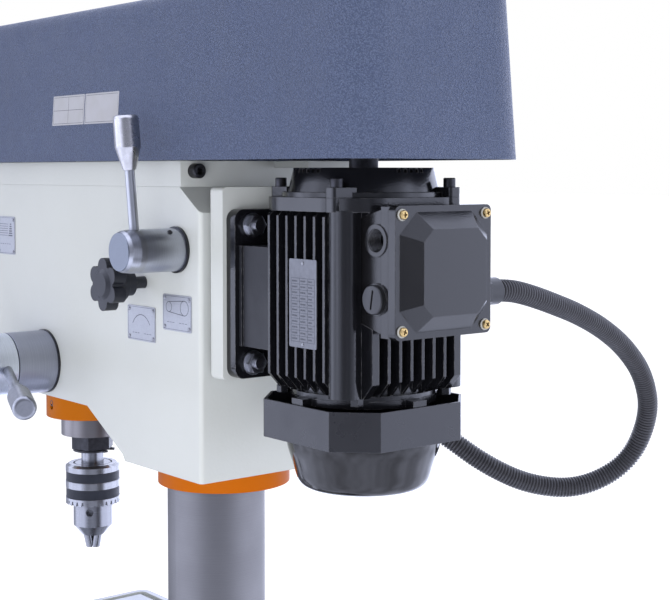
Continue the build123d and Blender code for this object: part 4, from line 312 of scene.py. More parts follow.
def lathe_marks_effect():
    """Rings that a cutting tool leaves, on round faces and on the flat ends alike."""
    tree, given, out = effect(
        "lathe_marks",
        {"Axis": (VECTOR, (0, 0, 1)), "Through": (VECTOR, (0, 0, 0)), "Rings": (FLOAT, 900)},
        {"Tone": FLOAT, "Height": FLOAT},
    )

    def vector(operation, sockets):
        return add(tree, "ShaderNodeVectorMath", sockets, operation=operation).outputs

    from_point = vector("SUBTRACT", {0: own_place(tree), 1: given["Through"]})[0]
    along = dot(tree, from_point, given["Axis"])
    on_axis = vector("SCALE", {0: given["Axis"], "Scale": along})[0]
    radius = vector("DISTANCE", {0: from_point, 1: on_axis})["Value"]
    fine = tool_lines(tree, calc(tree, "ADD", along, radius), given["Rings"], 4.0, 0.65)
    stain = noise(tree, own_place(tree), 24, 5)
    tree.links.new(calc(tree, "ADD", product(tree, fine, 0.65), product(tree, stain, 0.35)), out["Tone"])
    tree.links.new(fine, out["Height"])
    return tree


LATHE_MARKS = lathe_marks_effect()


def turned_metal(name, colour, axis, through, rings=1400, gloss=0.26, depth=0.000012, edge=0.0004):
    """Bright metal off the lathe or grinder, turned about an axis through a point in mm."""
    made, tree, surface = new_finish(name)
    marks = use(tree, LATHE_MARKS, Axis=axis, Through=Vector(through) * MM, Rings=rings)
    edges = use(tree, EDGE_WEAR_AND_HIGHLIGHT, Radius=edge, Amount=0.0)
    shade_and_dirt = use(tree, CORNER_SHADE_AND_DIRT, Reach=0.006, Amount=0.45)
    base = mixed(tree, ramp(tree, marks["Tone"], 0.3, 0.7), dimmed(colour, 0.72), colour)
    # Darker where surfaces meet: painted corner shade, mixed with patchy dirt.
    tree.links.new(mixed(tree, shade_and_dirt["Mask"], base, dimmed(colour, 0.3)), surface.inputs["Base Color"])
    tree.links.new(ramp(tree, marks["Tone"], 0.3, 0.7, gloss + 0.08, gloss), surface.inputs["Roughness"])
    surface.inputs["Metallic"].default_value = 1.0
    bumped(tree, surface, marks["Height"], depth, edges["Normal"])
    return made


ground_column = turned_metal("ground_column", GROUND_STEEL, (0, 0, 1), (0, 0, 0), rings=2200, gloss=0.46)
cut_rack = turned_metal("cut_rack", (0.4, 0.41, 0.43, 1), (1, 0, 0), (0, 0, 0), gloss=0.32)
orange_enamel = enamel("orange_enamel", ORANGE, ORANGE_SHADE, 520, 0.00005, 0.42, (0.7, 0.25, 0.05, 1), 0.2,
                       shine=0.08)
dress(ground_column, "column")
dress(cut_rack, "lift_rack")
dress(orange_enamel, "column_collar")


# Table, arm and crank: an enamelled arm that clamps round the column, and a slotted iron table whose top
# is planed bright. The crank is plated steel with a plastic grip, and a lever clamps the arm.
PALE = (0.56, 0.585, 0.595, 1)
PALE_SHADE = (0.535, 0.56, 0.57, 1)
TABLE_TOP = 361.5


def axes(tree, vector):
    return add(tree, "ShaderNodeSeparateXYZ", {"Vector": vector}).outputs


def planed_iron():
    """Iron with a planed top, whose tool lines run along the table, and cast sides under enamel."""
    made, tree, surface = new_finish("planed_iron")
    place = own_place(tree)
    parts = axes(tree, place)
    upward = axes(tree, add(tree, "ShaderNodeNewGeometry", {}).outputs["Normal"])["Z"]
    on_top = calc(tree, "GREATER_THAN", parts["Z"], TABLE_TOP * MM - 0.001)
    planed = product(tree, calc(tree, "GREATER_THAN", upward, 0.9), on_top)
    lines = tool_lines(tree, parts["Y"], 1500.0)
    stain = noise(tree, place, 16, 6)
    edges = use(tree, EDGE_WEAR_AND_HIGHLIGHT, Radius=0.0008, Amount=0.4)
    skin = use(tree, PAINT_SKIN, Color=PALE, Shade=PALE_SHADE, Grain=420, Gloss=0.4)
    iron = mixed(tree, ramp(tree, stain, 0.3, 0.7), (0.37, 0.375, 0.385, 1), (0.27, 0.275, 0.285, 1))
    sides = mixed(tree, edges["Mask"], skin["Color"], BARE_IRON)
    tree.links.new(mixed(tree, planed, sides, iron), surface.inputs["Base Color"])
    tree.links.new(planed, surface.inputs["Metallic"])
    tree.links.new(ramp(tree, planed, 0, 1, 0.42, 0.3), surface.inputs["Roughness"])
    relief = add(tree, "ShaderNodeMix", {"Factor": planed, 2: skin["Height"], 3: lines}).outputs[0]
    bumped(tree, surface, relief, 0.00004, edges["Normal"])
    return made


pale_enamel = enamel("pale_enamel", PALE, PALE_SHADE, 260, 0.00007, 0.38, (0.5, 0.51, 0.52, 1), 0.2, 0.12)


def moulded(name, colour, gloss, grain=900, depth=0.00002, dust=0.25):
    """A moulded plastic or rubber: fine tool grain, a little dust in the corners, softened edges."""
    made, tree, surface = new_finish(name)
    place = own_place(tree)
    edges = use(tree, EDGE_WEAR_AND_HIGHLIGHT, Radius=0.0006, Amount=0.25)
    dusty = use(tree, CORNER_SHADE_AND_DIRT, Reach=0.008, Amount=dust)
    drift = ramp(tree, noise(tree, place, 45, 5), 0.3, 0.7)
    worn = tuple(0.55 * part + 0.09 for part in colour[:3]) + (1,)
    powder = tuple(0.6 * part + 0.05 for part in colour[:3]) + (1,)
    base = mixed(tree, edges["Mask"], mixed(tree, drift, colour, dimmed(colour, 0.78)), worn)
    tree.links.new(mixed(tree, dusty["Mask"], base, powder), surface.inputs["Base Color"])
    tree.links.new(ramp(tree, drift, 0, 1, gloss, gloss + 0.1), surface.inputs["Roughness"])
    bumped(tree, surface, noise(tree, place, grain, 2), depth, edges["Normal"])
    return made


black_moulding = moulded("black_moulding", (0.01, 0.0105, 0.013, 1), 0.26)
plated_steel = turned_metal("plated_steel", (0.58, 0.585, 0.6, 1), (0, 1, 0), (0, 0, 0), gloss=0.18)
dress(pale_enamel, "table_arm")
dress(planed_iron(), "table")
dress(black_oxide, "tilt_bolt")
dress(plated_steel, "crank", "table_clamp")
dress(black_moulding, "crank_grip")


# Head: one iron casting in pale enamel that clamps on the column and carries the quill, with a belt
# platform on top. A black socket screw in the platform's rear face holds the belt guard's floor.
dress(pale_enamel, "head_casting", "belt_platform")


def socket_screw(name, radius, height, socket, place):
    """A socket-head screw: straight head, broken edge, hexagonal key hole."""
    rings = [(0, round_ring(radius)), (height - 0.7, round_ring(radius))]
    rings += [(height, round_ring(radius - 0.7)), (height, round_ring(socket * 0.66))]
    rings += [(height - 0.4, hex_ring(socket))]
    rings += [(height * 0.35, hex_ring(socket)), (height * 0.3, round_ring(socket * 0.1))]
    return shaped(name, rings, place)


PLATFORM_SCREW = (63, 60, 871)
platform_screw = socket_screw("platform_screw", 6.5, 10, 6, facing(*PLATFORM_SCREW, (0, 1, 0)))
fix(platform_screw, black_oxide, "stand")


# Plates on the head: thin anodised aluminium, each held by a domed rivet in every corner. Their marks are
# printed lines: an arc for the lever's swing, a belt round two pulleys, and rows of short strokes.
PLATE_THICK = 0.7
INK_THICK = 0.06
HEAD_FACE = 77
CORNERS = ((1, 1), (-1, 1), (-1, -1), (1, -1))
RIGHT_FACE = Matrix(((0, 0, 1), (1, 0, 0), (0, 1, 0))).to_4x4()


def plate_blank(name, width, height, corner, thick, place):
    """A flat plate with round corners, its back on the surface that carries it."""
    mesh = bmesh.new()
    outline = []
    for quarter, (side, top) in enumerate(CORNERS):
        for step in range(6):
            angle = math.radians(90 * quarter + 18 * step)
            x = side * (width / 2 - corner) + corner * math.cos(angle)
            y = top * (height / 2 - corner) + corner * math.sin(angle)
            outline.append((x, y))
    back = [mesh.verts.new(Vector((x, y, 0)) * MM) for x, y in outline]
    front = [mesh.verts.new(Vector((x, y, thick)) * MM) for x, y in outline]
    for k in range(len(outline)):
        mesh.faces.new((back[k - 1], back[k], front[k], front[k - 1]))
    mesh.faces.new(back[::-1])
    mesh.faces.new(front)
    return solid(name, mesh, place)


def printed(name, strokes, place, lift):
    """Printed lines on a plate: each stroke is its points in mm and its width."""
    mesh = bmesh.new()
    for points, width in strokes:
        ends = []
        for k, (x, y) in enumerate(points):
            before, after = Vector(points[max(k - 1, 0)]), Vector(points[min(k + 1, len(points) - 1)])
            along = (after - before).normalized()
            side = Vector((-along.y, along.x)) * width / 2
            both = [(x - side.x, y - side.y, lift), (x + side.x, y + side.y, lift)]
            ends.append([mesh.verts.new(Vector(spot) * MM) for spot in both])
        for (a, b), (c, d) in zip(ends, ends[1:]):
            mesh.faces.new((a, c, d, b))
    raised = bmesh.ops.extrude_face_region(mesh, geom=list(mesh.faces))["geom"]
    top = [part for part in raised if isinstance(part, bmesh.types.BMVert)]
    bmesh.ops.translate(mesh, vec=(0, 0, INK_THICK * MM), verts=top)
    return solid(name, mesh, place)


def border_line(across, up):
    """A ruled border, given by half its width and half its height."""
    return [(side * across, top * up) for side, top in CORNERS[2:] + CORNERS[:3]], 0.4


def arc_points(x, y, radius, start, end, steps=24):
    sweep = [math.radians(start + (end - start) * k / steps) for k in range(steps + 1)]
    return [(x + radius * math.cos(angle), y + radius * math.sin(angle)) for angle in sweep]


def dashes(x, y, length, gap, count):
    starts = [x + k * (length + gap) for k in range(count)]
    return [([(start, y), (start + length, y)], 0.5) for start in starts]


def rivet(name, radius, place):
    rings = [(radius * math.sin(math.radians(a)) * 0.7, round_ring(radius * math.cos(math.radians(a))))
             for a in (0, 20, 40, 60, 80)]
    return shaped(name, rings, place, 20)


def anodised(name, colour, gloss):
    """Brushed sheet metal: fine straight lines along its length, small scuffs."""
    made, tree, surface = new_finish(name)
    place = own_place(tree)
    brushed = tool_lines(tree, axes(tree, place)["Y"], 4200.0)
    scuffs = ramp(tree, noise(tree, place, 300, 6), 0.35, 0.7)
    edges = use(tree, EDGE_WEAR_AND_HIGHLIGHT, Radius=0.0003, Amount=0.5)
    base = mixed(tree, ramp(tree, brushed, 0.3, 0.7), dimmed(colour, 0.8), colour)
    tree.links.new(mixed(tree, edges["Mask"], base, (0.75, 0.75, 0.77, 1)), surface.inputs["Base Color"])
    tree.links.new(ramp(tree, scuffs, 0, 1, gloss, gloss + 0.14), surface.inputs["Roughness"])
    surface.inputs["Metallic"].default_value = 0.75
    bumped(tree, surface, brushed, 0.00001, edges["Normal"])
    return made


def printing_ink():
    """Printed ink: nearly black, thin in places."""
    made, tree, surface = new_finish("printing_ink")
    thin = ramp(tree, noise(tree, own_place(tree), 900, 4), 0.35, 0.75)
    tone = mixed(tree, thin, (0.03, 0.032, 0.045, 1), (0.1, 0.105, 0.13, 1))
    tree.links.new(tone, surface.inputs["Base Color"])
    tree.links.new(ramp(tree, thin, 0, 1, 0.45, 0.65), surface.inputs["Roughness"])
    return made


plate_metal = anodised("plate_metal", (0.39, 0.4, 0.425, 1), 0.4)
rivet_metal = anodised("rivet_metal", (0.3, 0.305, 0.33, 1), 0.25)
plate_ink = printing_ink()
LIFT = PLATE_THICK - INK_THICK / 3


def head_plate(name, y_middle, z_middle, width, height, strokes):
    """One plate on the head's right face, with its rivets and its printed lines."""
    place = Matrix.Translation(Vector((HEAD_FACE, y_middle, z_middle)) * MM) @ RIGHT_FACE
    plate = plate_blank(f"{name}_plate", width, height, 2, PLATE_THICK, place)
    fix(plate, plate_metal, "stand")
    border = border_line(width / 2 - 1.3, height / 2 - 1.3)
    fix(printed(f"{name}_lines", [border] + strokes, place, LIFT), plate_ink, "stand")
    for k, (side, top) in enumerate(CORNERS):
        corner = Vector((side * (width / 2 - 3.4), top * (height / 2 - 3.4), PLATE_THICK)) * MM
        pin = rivet(f"{name}_rivet_{k + 1}", 1.9, place @ Matrix.Translation(corner))
        fix(pin, rivet_metal, "stand")


tension_arc = [(arc_points(0, -9, 17, 30, 150), 0.7)]
head_plate("tension", -6, 732, 48, 32, tension_arc + dashes(-15, -9, 3, 1.4, 3) + dashes(5, -9, 3, 1.4, 3))
belt_run = [(arc_points(-13, 5, 4.5, 0, 360), 0.6), (arc_points(12, 5, 6.5, 0, 360), 0.6)]
belt_run += [([(-13, 9.5), (12, 11.5)], 0.6), ([(-13, 0.5), (12, -1.5)], 0.6)]
head_plate("belt", 54, 746, 46, 32, belt_run + dashes(-16, -8.5, 3, 1.4, 3) + dashes(4, -8.5, 3, 1.4, 3))
steps = [([(9 - 0.7 * k, 12 - 2.4 * k), (12 + 0.5 * k, 12 - 2.4 * k)], 1.3) for k in range(6)]
steps += [([(-16, 12 - 2.4 * k), (4, 12 - 2.4 * k)], 0.5) for k in range(6)]
head_plate("speed", -279, 803, 40, 40, steps + dashes(-14, -9, 3.4, 1.8, 5))


# Belt hood: pressed and welded sheet under a heavy pebbled slate enamel, hinged along its left side.
# A pale sheet with plain ruled panels is stuck on its right side.
# The hollows between the hood's pebbles are darkened in colour: painted shade.
hood_enamel = enamel("hood_enamel", (0.102, 0.13, 0.223, 1), (0.043, 0.058, 0.112, 1), 780, 0.0011, 0.4,
                     (0.2, 0.225, 0.3, 1), 0.3, 0.2, 0.0012, shine=0.25, hollow_shade=0.8)
dress(hood_enamel, "belt_hood")
dress(black_oxide, "hinge_leaves", "hinge_brackets")
HOOD_DRAFT = math.radians(3.9)
SHEET_MIDDLE_Z = 929
PANEL_WIDTH, PANEL_HEIGHT, PANEL_THICK = 61.5, 28.5, 0.25
RULE_X, RULE_Y = 29, 12.6
sheet_face = 97 - math.tan(HOOD_DRAFT) * (SHEET_MIDDLE_Z - 880)
outward = Vector((math.cos(HOOD_DRAFT), 0, math.sin(HOOD_DRAFT)))
upward = Vector((-math.sin(HOOD_DRAFT), 0, math.cos(HOOD_DRAFT)))
sheet_axes = Matrix((Vector((0, 1, 0)), upward, outward)).transposed().to_4x4()


def vinyl(name, colour):
    """Printed vinyl: pale, slightly yellowed in patches, with a soft sheen."""
    made, tree, surface = new_finish(name)
    drift = ramp(tree, noise(tree, own_place(tree), 60, 4), 0.3, 0.7)
    shade = (colour[0] * 0.93, colour[1] * 0.92, colour[2] * 0.88, 1)
    tree.links.new(mixed(tree, drift, colour, shade), surface.inputs["Base Color"])
    tree.links.new(ramp(tree, drift, 0, 1, 0.3, 0.42), surface.inputs["Roughness"])
    return made


sheet_vinyl = vinyl("sheet_vinyl", (0.37, 0.375, 0.43, 1))
for number, (middle_y, ruled) in enumerate(((-110, True), (-47, False))):
    place = Matrix.Translation(Vector((sheet_face, middle_y, SHEET_MIDDLE_Z)) * MM) @ sheet_axes
    panel = plate_blank(f"hood_sheet_{number + 1}", PANEL_WIDTH, PANEL_HEIGHT, 0.8, PANEL_THICK, place)
    fix(panel, sheet_vinyl, "hood")
    rules = [border_line(RULE_X, RULE_Y)]
    if ruled:
        rules += [([(-RULE_X, 0), (RULE_X, 0)], 0.4), ([(0, -RULE_Y), (0, RULE_Y)], 0.4)]
    ruling = printed(f"hood_rules_{number + 1}", rules, place, PANEL_THICK - INK_THICK / 2)
    fix(ruling, plate_ink, "hood")


# Quill and spindle: a ground quill in the orange clamp ring, a blackened ejector nut with a snap ring
# under it, and a keyed chuck whose sleeve has two knurled black bands between bright ones.
SPINDLE = (0, -237, 0)
UPRIGHT = (0, 0, 1)
ground_quill = turned_metal("ground_quill", (0.24, 0.226, 0.224, 1), UPRIGHT, SPINDLE, 2600, 0.32, 0.000004)
chuck_steel = turned_metal("chuck_steel", (0.32, 0.323, 0.342, 1), UPRIGHT, SPINDLE, rings=2600, gloss=0.2)
# The quill ring has the collar's orange paint; this copy of it is retoned for the light under the head:
# painted light and shade.
ring_orange_retoned_for_light = enamel("ring_orange_retoned_for_light", (0.46, 0.128, 0.004, 1), (0.42, 0.112, 0.004, 1), 520, 0.00005, 0.42,
                     (0.6, 0.22, 0.05, 1), 0.2, shine=0.08)
dress(ring_orange_retoned_for_light, "quill_ring")
dress(ground_quill, "quill", "spindle_bearings", "sleeve_bearings")
dress(chuck_steel, "chuck_arbor", "chuck_body", "chuck_jaw_1", "chuck_jaw_2", "chuck_jaw_3")
dress(black_oxide, "ejector_nut", "spindle")
KNURLED_BANDS = ((0.521, 0.5315), (0.539, 0.549))
KNURLS_ROUND = 110


def banded_sleeve():
    """Ground bright bands and blackened knurled ones, by height on the sleeve."""
    made, tree, surface = new_finish("banded_sleeve")
    place = own_place(tree)
    parts = axes(tree, place)
    height = parts["Z"]
    bands = [product(tree, calc(tree, "GREATER_THAN", height, low), calc(tree, "LESS_THAN", height, high))
             for low, high in KNURLED_BANDS]
    knurled = calc(tree, "ADD", *bands)
    angle = calc(tree, "ARCTAN2", parts["X"], calc(tree, "SUBTRACT", parts["Y"], SPINDLE[1] * MM))
    climb = product(tree, height, 3800.0)
    round_way = product(tree, angle, float(KNURLS_ROUND))
    teeth = product(tree, calc(tree, "SINE", calc(tree, "ADD", round_way, climb)),
                    calc(tree, "SINE", calc(tree, "SUBTRACT", round_way, climb)))
    marks = use(tree, LATHE_MARKS, Axis=UPRIGHT, Through=Vector(SPINDLE) * MM, Rings=2600)
    edges = use(tree, EDGE_WEAR_AND_HIGHLIGHT, Radius=0.0004, Amount=0.0)
    cut = ramp(tree, marks["Tone"], 0.3, 0.7)
    bright = mixed(tree, cut, (0.27, 0.273, 0.288, 1), (0.39, 0.393, 0.41, 1))
    rubbed = mixed(tree, ramp(tree, teeth, 0.3, 1), (0.04, 0.042, 0.05, 1), (0.14, 0.143, 0.16, 1))
    tree.links.new(mixed(tree, knurled, bright, rubbed), surface.inputs["Base Color"])
    tree.links.new(ramp(tree, knurled, 0, 1, 0.2, 0.42), surface.inputs["Roughness"])
    surface.inputs["Metallic"].default_value = 0.95
    bumped(tree, surface, product(tree, teeth, knurled), 0.00022, edges["Normal"])
    return made


dress(banded_sleeve(), "chuck_sleeve")


def snap_ring():
    """A spring-steel ring with an ear at each side of its gap."""
    mesh = bmesh.new()
    inner, outer, ear, low, high = 16.2, 20.6, 3.2, 570.2, 572.2
    count, gap = 60, math.radians(16)
    rows = []
    for k in range(count + 1):
        angle = gap + (2 * math.pi - 2 * gap) * k / count
        rim = outer + (ear if min(k, count - k) <= 2 else 0)
        x, y = math.cos(angle), math.sin(angle)
        section = ((inner, low), (rim, low), (rim, high), (inner, high))
        rows.append([mesh.verts.new(Vector((r * x, r * y, height)) * MM) for r, height in section])
    for first, second in zip(rows, rows[1:]):
        for k in range(4):
            mesh.faces.new((first[k - 1], first[k], second[k], second[k - 1]))
    mesh.faces.new(rows[0])
    mesh.faces.new(rows[-1][::-1])
    gap_turn = Matrix.Rotation(math.radians(120), 4, "Z")
    return solid("snap_ring", mesh, Matrix.Translation(Vector(SPINDLE) * MM) @ gap_turn)


fix(snap_ring(), black_oxide, "spindle")
RING_SCREW = (44.6, SPINDLE[1], 626)
ring_screw = socket_screw("ring_screw", 3.6, 4, 3.4, facing(*RING_SCREW, (1, 0, 0)))
fix(ring_screw, black_oxide, "quill")


# Feed: a dark sleeve on the head, a bright turned hub outside it, and three levers with flared grips.
# The return spring sits in a plastic cup on the far side.
FEED = (0, -194, 678)
hub_steel = turned_metal("hub_steel", (0.78, 0.82, 0.9, 1), (1, 0, 0), FEED, rings=1500, gloss=0.27)


def stepped_hub(name, through, tones, gloss):
    """Turned metal whose tone changes along X: each tone is where it starts, in mm, and its colour."""
    made, tree, surface = new_finish(name)
    marks = use(tree, LATHE_MARKS, Axis=(1, 0, 0), Through=Vector(through) * MM, Rings=1500)
    edges = use(tree, EDGE_WEAR_AND_HIGHLIGHT, Radius=0.0004, Amount=0.0)
    shade_and_dirt = use(tree, CORNER_SHADE_AND_DIRT, Reach=0.006, Amount=0.45)
    along = axes(tree, own_place(tree))["X"]
    tone = tones[0][1]
    for start, colour in tones[1:]:
        tone = mixed(tree, calc(tree, "GREATER_THAN", along, start * MM), tone, colour)
    grooves = ramp(tree, marks["Tone"], 0.3, 0.7, 0.72, 1)
    sockets = {"Factor": 1.0, 6: tone, 7: grooves}
    scored = add(tree, "ShaderNodeMix", sockets, data_type="RGBA", blend_type="MULTIPLY").outputs[2]
    # Darker where surfaces meet: painted corner shade, mixed with patchy dirt.
    tone_with_shade_and_dirt = mixed(tree, shade_and_dirt["Mask"], scored, (0.06, 0.06, 0.065, 1))
    tree.links.new(tone_with_shade_and_dirt, surface.inputs["Base Color"])
    tree.links.new(ramp(tree, marks["Tone"], 0.3, 0.7, gloss + 0.08, gloss), surface.inputs["Roughness"])
    surface.inputs["Metallic"].default_value = 0.95
    bumped(tree, surface, marks["Height"], 0.000012, edges["Normal"])
    return made


def satin_metal(name, colour, gloss):
    """Polished bright metal: even in tone, with small scuffs and softened edges."""
    made, tree, surface = new_finish(name)
    scuffs = ramp(tree, noise(tree, own_place(tree), 240, 6), 0.35, 0.7)
    edges = use(tree, EDGE_WEAR_AND_HIGHLIGHT, Radius=0.0008, Amount=0.0)
    shade_and_dirt = use(tree, CORNER_SHADE_AND_DIRT, Reach=0.006, Amount=0.45)
    base = mixed(tree, scuffs, colour, dimmed(colour, 0.86))
    # Darker where surfaces meet: painted corner shade, mixed with patchy dirt.
    tree.links.new(mixed(tree, shade_and_dirt["Mask"], base, dimmed(colour, 0.3)), surface.inputs["Base Color"])
    tree.links.new(ramp(tree, scuffs, 0, 1, gloss, gloss + 0.08), surface.inputs["Roughness"])
    surface.inputs["Metallic"].default_value = 1.0
    tree.links.new(edges["Normal"], surface.inputs["Normal"])
    return made


# The sleeve's first tone, up to 79.5 mm, darkens its end at the head: painted shade of the recess there.
SLEEVE_TONES = ((0, (0.05, 0.05, 0.056, 1)), (79.5, (0.39, 0.405, 0.47, 1)))
dress(hub_steel, "feed_hub", "feed_shaft")
dress(stepped_hub("sleeve_steel", FEED, SLEEVE_TONES, 0.34), "feed_sleeve")
dress(satin_metal("satin_alloy", (0.32, 0.325, 0.345, 1), 0.3), "feed_levers", "feed_grips")
dress(black_moulding, "spring_cup")


# Belt drive: two five-step pulleys, cast in light alloy and turned, one on the spindle's sleeve and one on
# the motor's shaft. The V-belt round them is rubber wrapped in cloth.
MOTOR = (0, 216, 0)
ALLOY = (0.66, 0.67, 0.69, 1)
spindle_alloy = turned_metal("spindle_alloy", ALLOY, UPRIGHT, SPINDLE, rings=900, gloss=0.28)
motor_alloy = turned_metal("motor_alloy", ALLOY, UPRIGHT, MOTOR, rings=900, gloss=0.28)
belt_rubber = moulded("belt_rubber", (0.025, 0.024, 0.024, 1), 0.7, 1800, 0.00008, 0.4)
dress(spindle_alloy, "spindle_pulley")
dress(motor_alloy, "motor_pulley")
dress(belt_rubber, "v_belt")


# Belt tension: a turned steel hub on the pinion shaft with a slim rod and a tapered alloy grip, two slide
# bars that carry the motor, and a black star knob that locks them.
TENSION = (0, 54, 802)
HUB_TONES = ((0, (0.05, 0.05, 0.056, 1)), (79.8, (0.5, 0.52, 0.575, 1)),
             (118, (0.46, 0.47, 0.5, 1)), (135, (0.21, 0.23, 0.265, 1)))
tension_steel = stepped_hub("tension_steel", TENSION, HUB_TONES, 0.28)
bar_steel = turned_metal("bar_steel", GROUND_STEEL, (0, 1, 0), (50, 0, 776), rings=1800, gloss=0.24)
dress(tension_steel, "tension_shaft", "tension_lever")
dress(satin_metal("grip_alloy", (0.5, 0.49, 0.49, 1), 0.26), "tension_grip")
dress(bar_steel, "slide_bars")
dress(moulded("knob_black", (0.008, 0.009, 0.014, 1), 0.4), "lock_knob")
HUB_SCREW, HUB_SCREW_AXIS = (91, 64.6, 818.3), (0, 0.545, 0.839)
hub_screw = socket_screw("hub_screw", 2.3, 0.9, 2.2, facing(*HUB_SCREW, HUB_SCREW_AXIS))
fix(hub_screw, black_oxide, "tension")


# Motor mount: a pale enamelled bracket on the slide bars, and a black plate on it with four studs, whose
# nuts and washers clamp the motor's foot.
# The motor's black lightens its edges along a patchy mask: partly worn paint, partly a painted highlight
# along the fins' edges.
MOTOR_PAINT = {
    "colour": (0.005, 0.0052, 0.007, 1), "shade": (0.008, 0.0082, 0.011, 1), "grain": 700, "pebble": 0.00004,
    "gloss": 0.16, "edge_wear_and_highlight_colour": (0.22, 0.22, 0.24, 1), "rubbed": 0.7, "shade_and_dirt_amount": 0.3, "edge": 0.0008,
}
motor_black = enamel("motor_black", **MOTOR_PAINT)
zinc_steel = turned_metal("zinc_steel", (0.74, 0.745, 0.77, 1), (0, 1, 0), MOTOR, rings=1600, gloss=0.26)
dress(pale_enamel, "motor_bracket")
dress(motor_black, "motor_plate")
dress(zinc_steel, "plate_bolts")


# Motor: a die-cast finned frame between two end shields, black enamelled, with an octagonal fan cowl and a
# glossy bowl below. Socket screws in its lugs hold the drive-end shield, and a plate is riveted on the fins.
bowl_black = enamel("bowl_black", (0.009, 0.0085, 0.009, 1), (0.013, 0.012, 0.0125, 1), 90, 0.00003, 0.1,
                    (0.1, 0.1, 0.11, 1), 0.2, 0.15, 0.0012, shine=0.42)
cowl_black = enamel("cowl_black", (0.011, 0.0115, 0.0155, 1), (0.015, 0.0155, 0.02, 1), 900, 0.00004, 0.3,
                    (0.24, 0.24, 0.26, 1), 0.5, 0.25, 0.0007)
FOOT_END = 0.1665


def frame_enamel():
    """The frame's enamel: glossy on the fins, matt as cast on the foot that lies on the plate."""
    made = enamel("frame_black", **MOTOR_PAINT)
    tree = made.node_tree
    roughness = tree.nodes["Principled BSDF"].inputs["Roughness"]
    matt = ramp(tree, axes(tree, own_place(tree))["Y"], FOOT_END, FOOT_END - 0.001, 0, 0.4)
    tree.links.new(calc(tree, "ADD", roughness.links[0].from_socket, matt), roughness)
    return made


dress(motor_black, "drive_shield", "tail_shield")
dress(frame_enamel(), "motor_frame")
dress(cowl_black, "cowl_skirt")
dress(bowl_black, "cowl_bowl")
dress(black_oxide, "stator", "motor_shaft")
SHIELD_BOLTS_R = 72
SHIELD_SEAT = 858
for turn in range(4):
    angle = math.radians(33 + 90 * turn)
    x, y = SHIELD_BOLTS_R * math.cos(angle), MOTOR[1] + SHIELD_BOLTS_R * math.sin(angle)
    bolt = socket_screw(f"shield_bolt_{turn + 1}", 4.9, 7.4, 4.6, facing(x, y, SHIELD_SEAT, (0, 0, 1)))
    fix(bolt, black_oxide, "motor_carriage")
rating_metal = anodised("rating_metal", (0.17, 0.174, 0.19, 1), 0.38)
rating_place = Matrix.Translation(Vector((66, 220.5, 766)) * MM) @ RIGHT_FACE
rating_plate = plate_blank("rating_plate", 35, 70.5, 1.6, 0.9, rating_place)
fix(rating_plate, rating_metal, "motor_carriage")
ROW = 4.6
rows = [([(-15, 20 - ROW * k), (15, 20 - ROW * k)], 0.45) for k in range(12)]
rows += [([(x, 20), (x, 20 - 11 * ROW)], 0.45) for x in (-15, -4, 6, 15)]
for x, length in ((-14, 7), (-3, 6.5), (7, 5)):
    rows += [([(x, 17.7 - ROW * k), (x + length, 17.7 - ROW * k)], 1.3) for k in range(11)]
fix(printed("rating_rows", rows, rating_place, 0.88), plate_ink, "motor_carriage")
for number, height in enumerate((32, -32.5)):
    spot = rating_place @ Matrix.Translation(Vector((0, height, 0.9)) * MM)
    fix(rivet(f"rating_rivet_{number + 1}", 1.6, spot), rivet_metal, "motor_carriage")


# Terminal box: a black die-cast box with two threaded entries and a bevelled cover. Four brass screws on
# pale washers hold the cover, and a slotted plug closes the lower entry.
box_black = enamel("box_black", (0.007, 0.007, 0.0085, 1), (0.011, 0.011, 0.013, 1), 800, 0.00004, 0.2,
                   (0.22, 0.22, 0.235, 1), 0.4, 0.2, 0.0007)
dress(box_black, "terminal_box", "terminal_cover")
dress(black_moulding, "conduit_gland")
COVER_FACE = 312
COVER_MIDDLE = 794
COVER_SCREW_X, COVER_SCREW_Z = 43.8, 44
WASHER_R, WASHER_THICK = 4.6, 1.2
PLUG_SEAT = (50, 289, 773)
THREAD_MOUTH = (49.6, 289, 818)


def slot_ring(length, width):
    def clamped(angle):
        across = max(-width / 2, min(width / 2, length * math.sin(angle)))
        return max(-length / 2, min(length / 2, length * math.cos(angle))), across

    return clamped


def cross_ring(reach, half_width):
    def arm_point(angle):
        c, s = abs(math.cos(angle)), abs(math.sin(angle))
        long, short = max(c, s), min(c, s)
        radius = min(reach / long, half_width / short if short > 1e-6 else 1e9)
        return radius * math.cos(angle), radius * math.sin(angle)

    return arm_point


def cross_screw(name, radius, height, place):
    """A domed cheese-head screw with a cross recess."""
    rings = [(0, round_ring(radius)), (height * 0.6, round_ring(radius))]
    rings += [(height * 0.9, round_ring(radius * 0.86)), (height, round_ring(radius * 0.66))]
    rings += [(height, cross_ring(radius * 0.58, radius * 0.17))]
    rings += [(height * 0.35, cross_ring(radius * 0.5, radius * 0.14))]
    rings += [(height * 0.3, round_ring(radius * 0.05))]
    return shaped(name, rings, place)


brass = turned_metal("brass", (0.56, 0.4, 0.17, 1), (0, 1, 0), (0, 0, 0), rings=2500, gloss=0.26)
washer_nylon = moulded("washer_nylon", (0.45, 0.45, 0.44, 1), 0.4)
for number, (side, top) in enumerate(CORNERS):
    x, z = side * COVER_SCREW_X, COVER_MIDDLE + top * COVER_SCREW_Z
    rim = [(0, round_ring(WASHER_R)), (WASHER_THICK - 0.3, round_ring(WASHER_R))]
    rim += [(WASHER_THICK, round_ring(WASHER_R - 0.3)), (WASHER_THICK, round_ring(2))]
    washer = shaped(f"cover_washer_{number + 1}", rim, facing(x, COVER_FACE, z, (0, 1, 0)))
    fix(washer, washer_nylon, "motor_carriage")
    seat = facing(x, COVER_FACE + WASHER_THICK, z, (0, 1, 0), 0.4 * number)
    fix(cross_screw(f"cover_screw_{number + 1}", 3.6, 2.6, seat), brass, "motor_carriage")
